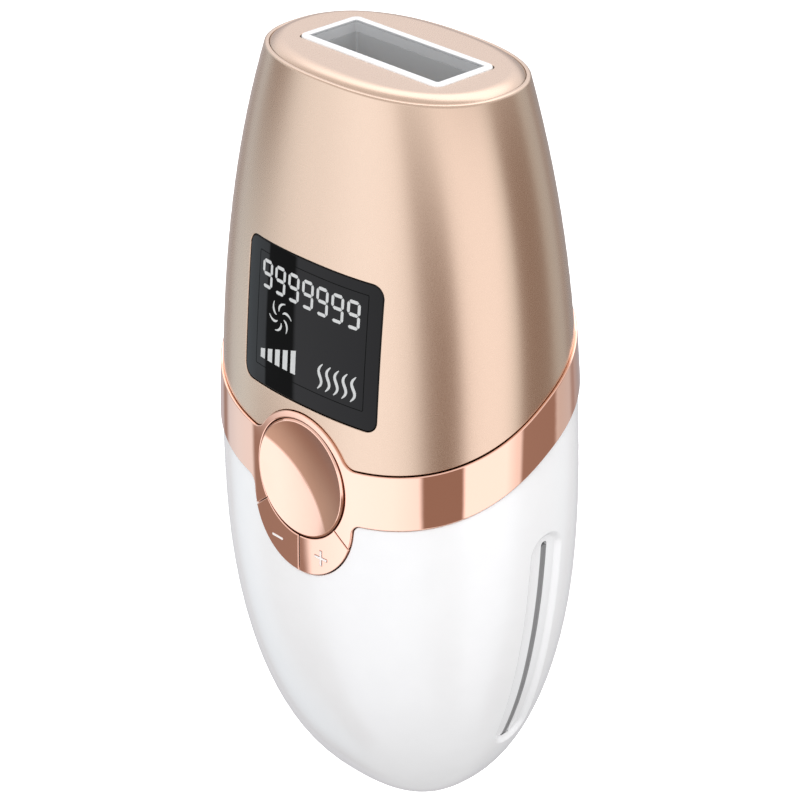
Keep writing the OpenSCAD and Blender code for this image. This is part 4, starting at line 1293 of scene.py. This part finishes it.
def world():
    """White backdrop to the camera, soft room for diffuse light, bright and dark areas for reflections."""
    sky = bpy.data.worlds.new("studio")
    bpy.context.scene.world = sky
    sky.use_nodes = True
    sky.node_tree.nodes.clear()
    web = Web(sky.node_tree)
    azimuth, elevation = web.direction(web.coordinate("Generated"))
    turn = web.times(web.plus(azimuth, 180.0), 1 / 360)
    stops = [((at + 180) / 360, tuple(c / ROOM_TOP for c in tint)) for at, tint in ROOM]
    walls = web.background(web.ramp(turn, stops), ROOM_TOP)
    around = web.math("MODULO", web.plus(azimuth, 360.0), 360.0)
    behind = web.hump(around, 134, 276, 10)
    above = web.mix(behind, web.background(ABOVE_FRONT), web.background(ABOVE_BACK))
    lights = web.mix(web.step(elevation, 8, 22), walls, above)
    glow = web.times(behind, web.step(elevation, 36, 46))
    lights = web.mix(glow, lights, web.background(GLOW))
    lights = web.mix(web.step(elevation, -66, -46), web.background(BELOW), lights)
    reflected = web.mix(dark_cards(web, azimuth, around, elevation), lights, web.background(DARK))
    shade = web.times(web.step(elevation, -90, 70), SHADE_GAIN)
    room = web.background((1, 1, 1), web.plus(shade, SHADE_LEVEL))
    path = web.node("LightPath", {})
    lit = web.mix(path.outputs["Is Glossy Ray"], room, reflected)
    seen = web.mix(path.outputs["Is Camera Ray"], lit, web.background((1, 1, 1)))
    web.node("OutputWorld", {0: seen})


def floor():
    """Pale floor well below the object."""
    drop, cells = 0.12, 8
    axis = np.linspace(-3.0, 3.0, cells + 1)
    points = [(x, y, -drop) for y in axis for x in axis]
    row = cells + 1
    corners = [j * row + i for j in range(cells) for i in range(cells)]
    mesh = bpy.data.meshes.new("floor")
    mesh.from_pydata(points, [], [(k, k + 1, k + row + 1, k + row) for k in corners])
    material, web, shader = new_material("floor")
    look = {"Base Color": web.blotches(3, 2, (0.97, 0.97, 0.97), (1, 1, 1)), "Roughness": 0.9}
    look.update({"Emission Color": (1, 1, 1), "Emission Strength": 0.6})
    web.feed(shader, look)
    mesh.materials.append(material)
    piece = add_object("floor", mesh)
    piece.visible_glossy = False
    piece.visible_diffuse = False
    piece.visible_shadow = False


def camera():
    """Camera around a point on the axis."""
    azimuth, elevation, roll_angle = math.radians(46.55), math.radians(27.04), math.radians(-0.26)
    level, distance = math.cos(elevation), 0.5854
    back = Vector((math.sin(azimuth) * level, -math.cos(azimuth) * level, math.sin(elevation)))
    data = bpy.data.cameras.new("camera")
    data.sensor_width, data.lens = 36, 150.42
    data.shift_x, data.shift_y = 0.0028, 0.0386
    data.clip_start, data.clip_end = 0.01, 20
    eye = add_object("camera", data)
    eye.rotation_mode = "QUATERNION"
    turned = (-back).to_track_quat("-Z", "Y").to_matrix() @ Matrix.Rotation(roll_angle, 3, "Z")
    eye.rotation_quaternion = turned.to_quaternion()
    eye.location = TARGET + back * distance
    bpy.context.scene.camera = eye


def soft_light(name, location, size, power):
    """A soft studio lamp that faces the object's middle."""
    data = bpy.data.lights.new(name, "AREA")
    data.shape, data.size, data.energy = "DISK", size, power
    lamp = add_object(name, data)
    lamp.location = location
    lamp.rotation_mode = "QUATERNION"
    lamp.rotation_quaternion = (TARGET - Vector(location)).to_track_quat("-Z", "Y")
    lamp.visible_glossy = False
    lamp.visible_camera = False


sleeve()
cap()
band()
cup()
flash_button()
level_key(-1, "minus_key")
level_key(1, "plus_key")
lens()
display_graphics()
cartridge_frame()
cartridge_body()
vent_strip(-1, "left_vent_strip", "vent_insert_left")
vent_strip(1, "right_vent_strip", "vent_insert_right")
dress_nodes()
world()
floor()
soft_light("key_light", (0.3, -0.5, 0.6), 0.5, 2.45)
soft_light("fill_light", (0.65, 0.2, 0.4), 0.5, 0.85)
camera()
bpy.context.scene.view_settings.view_transform = "Standard"
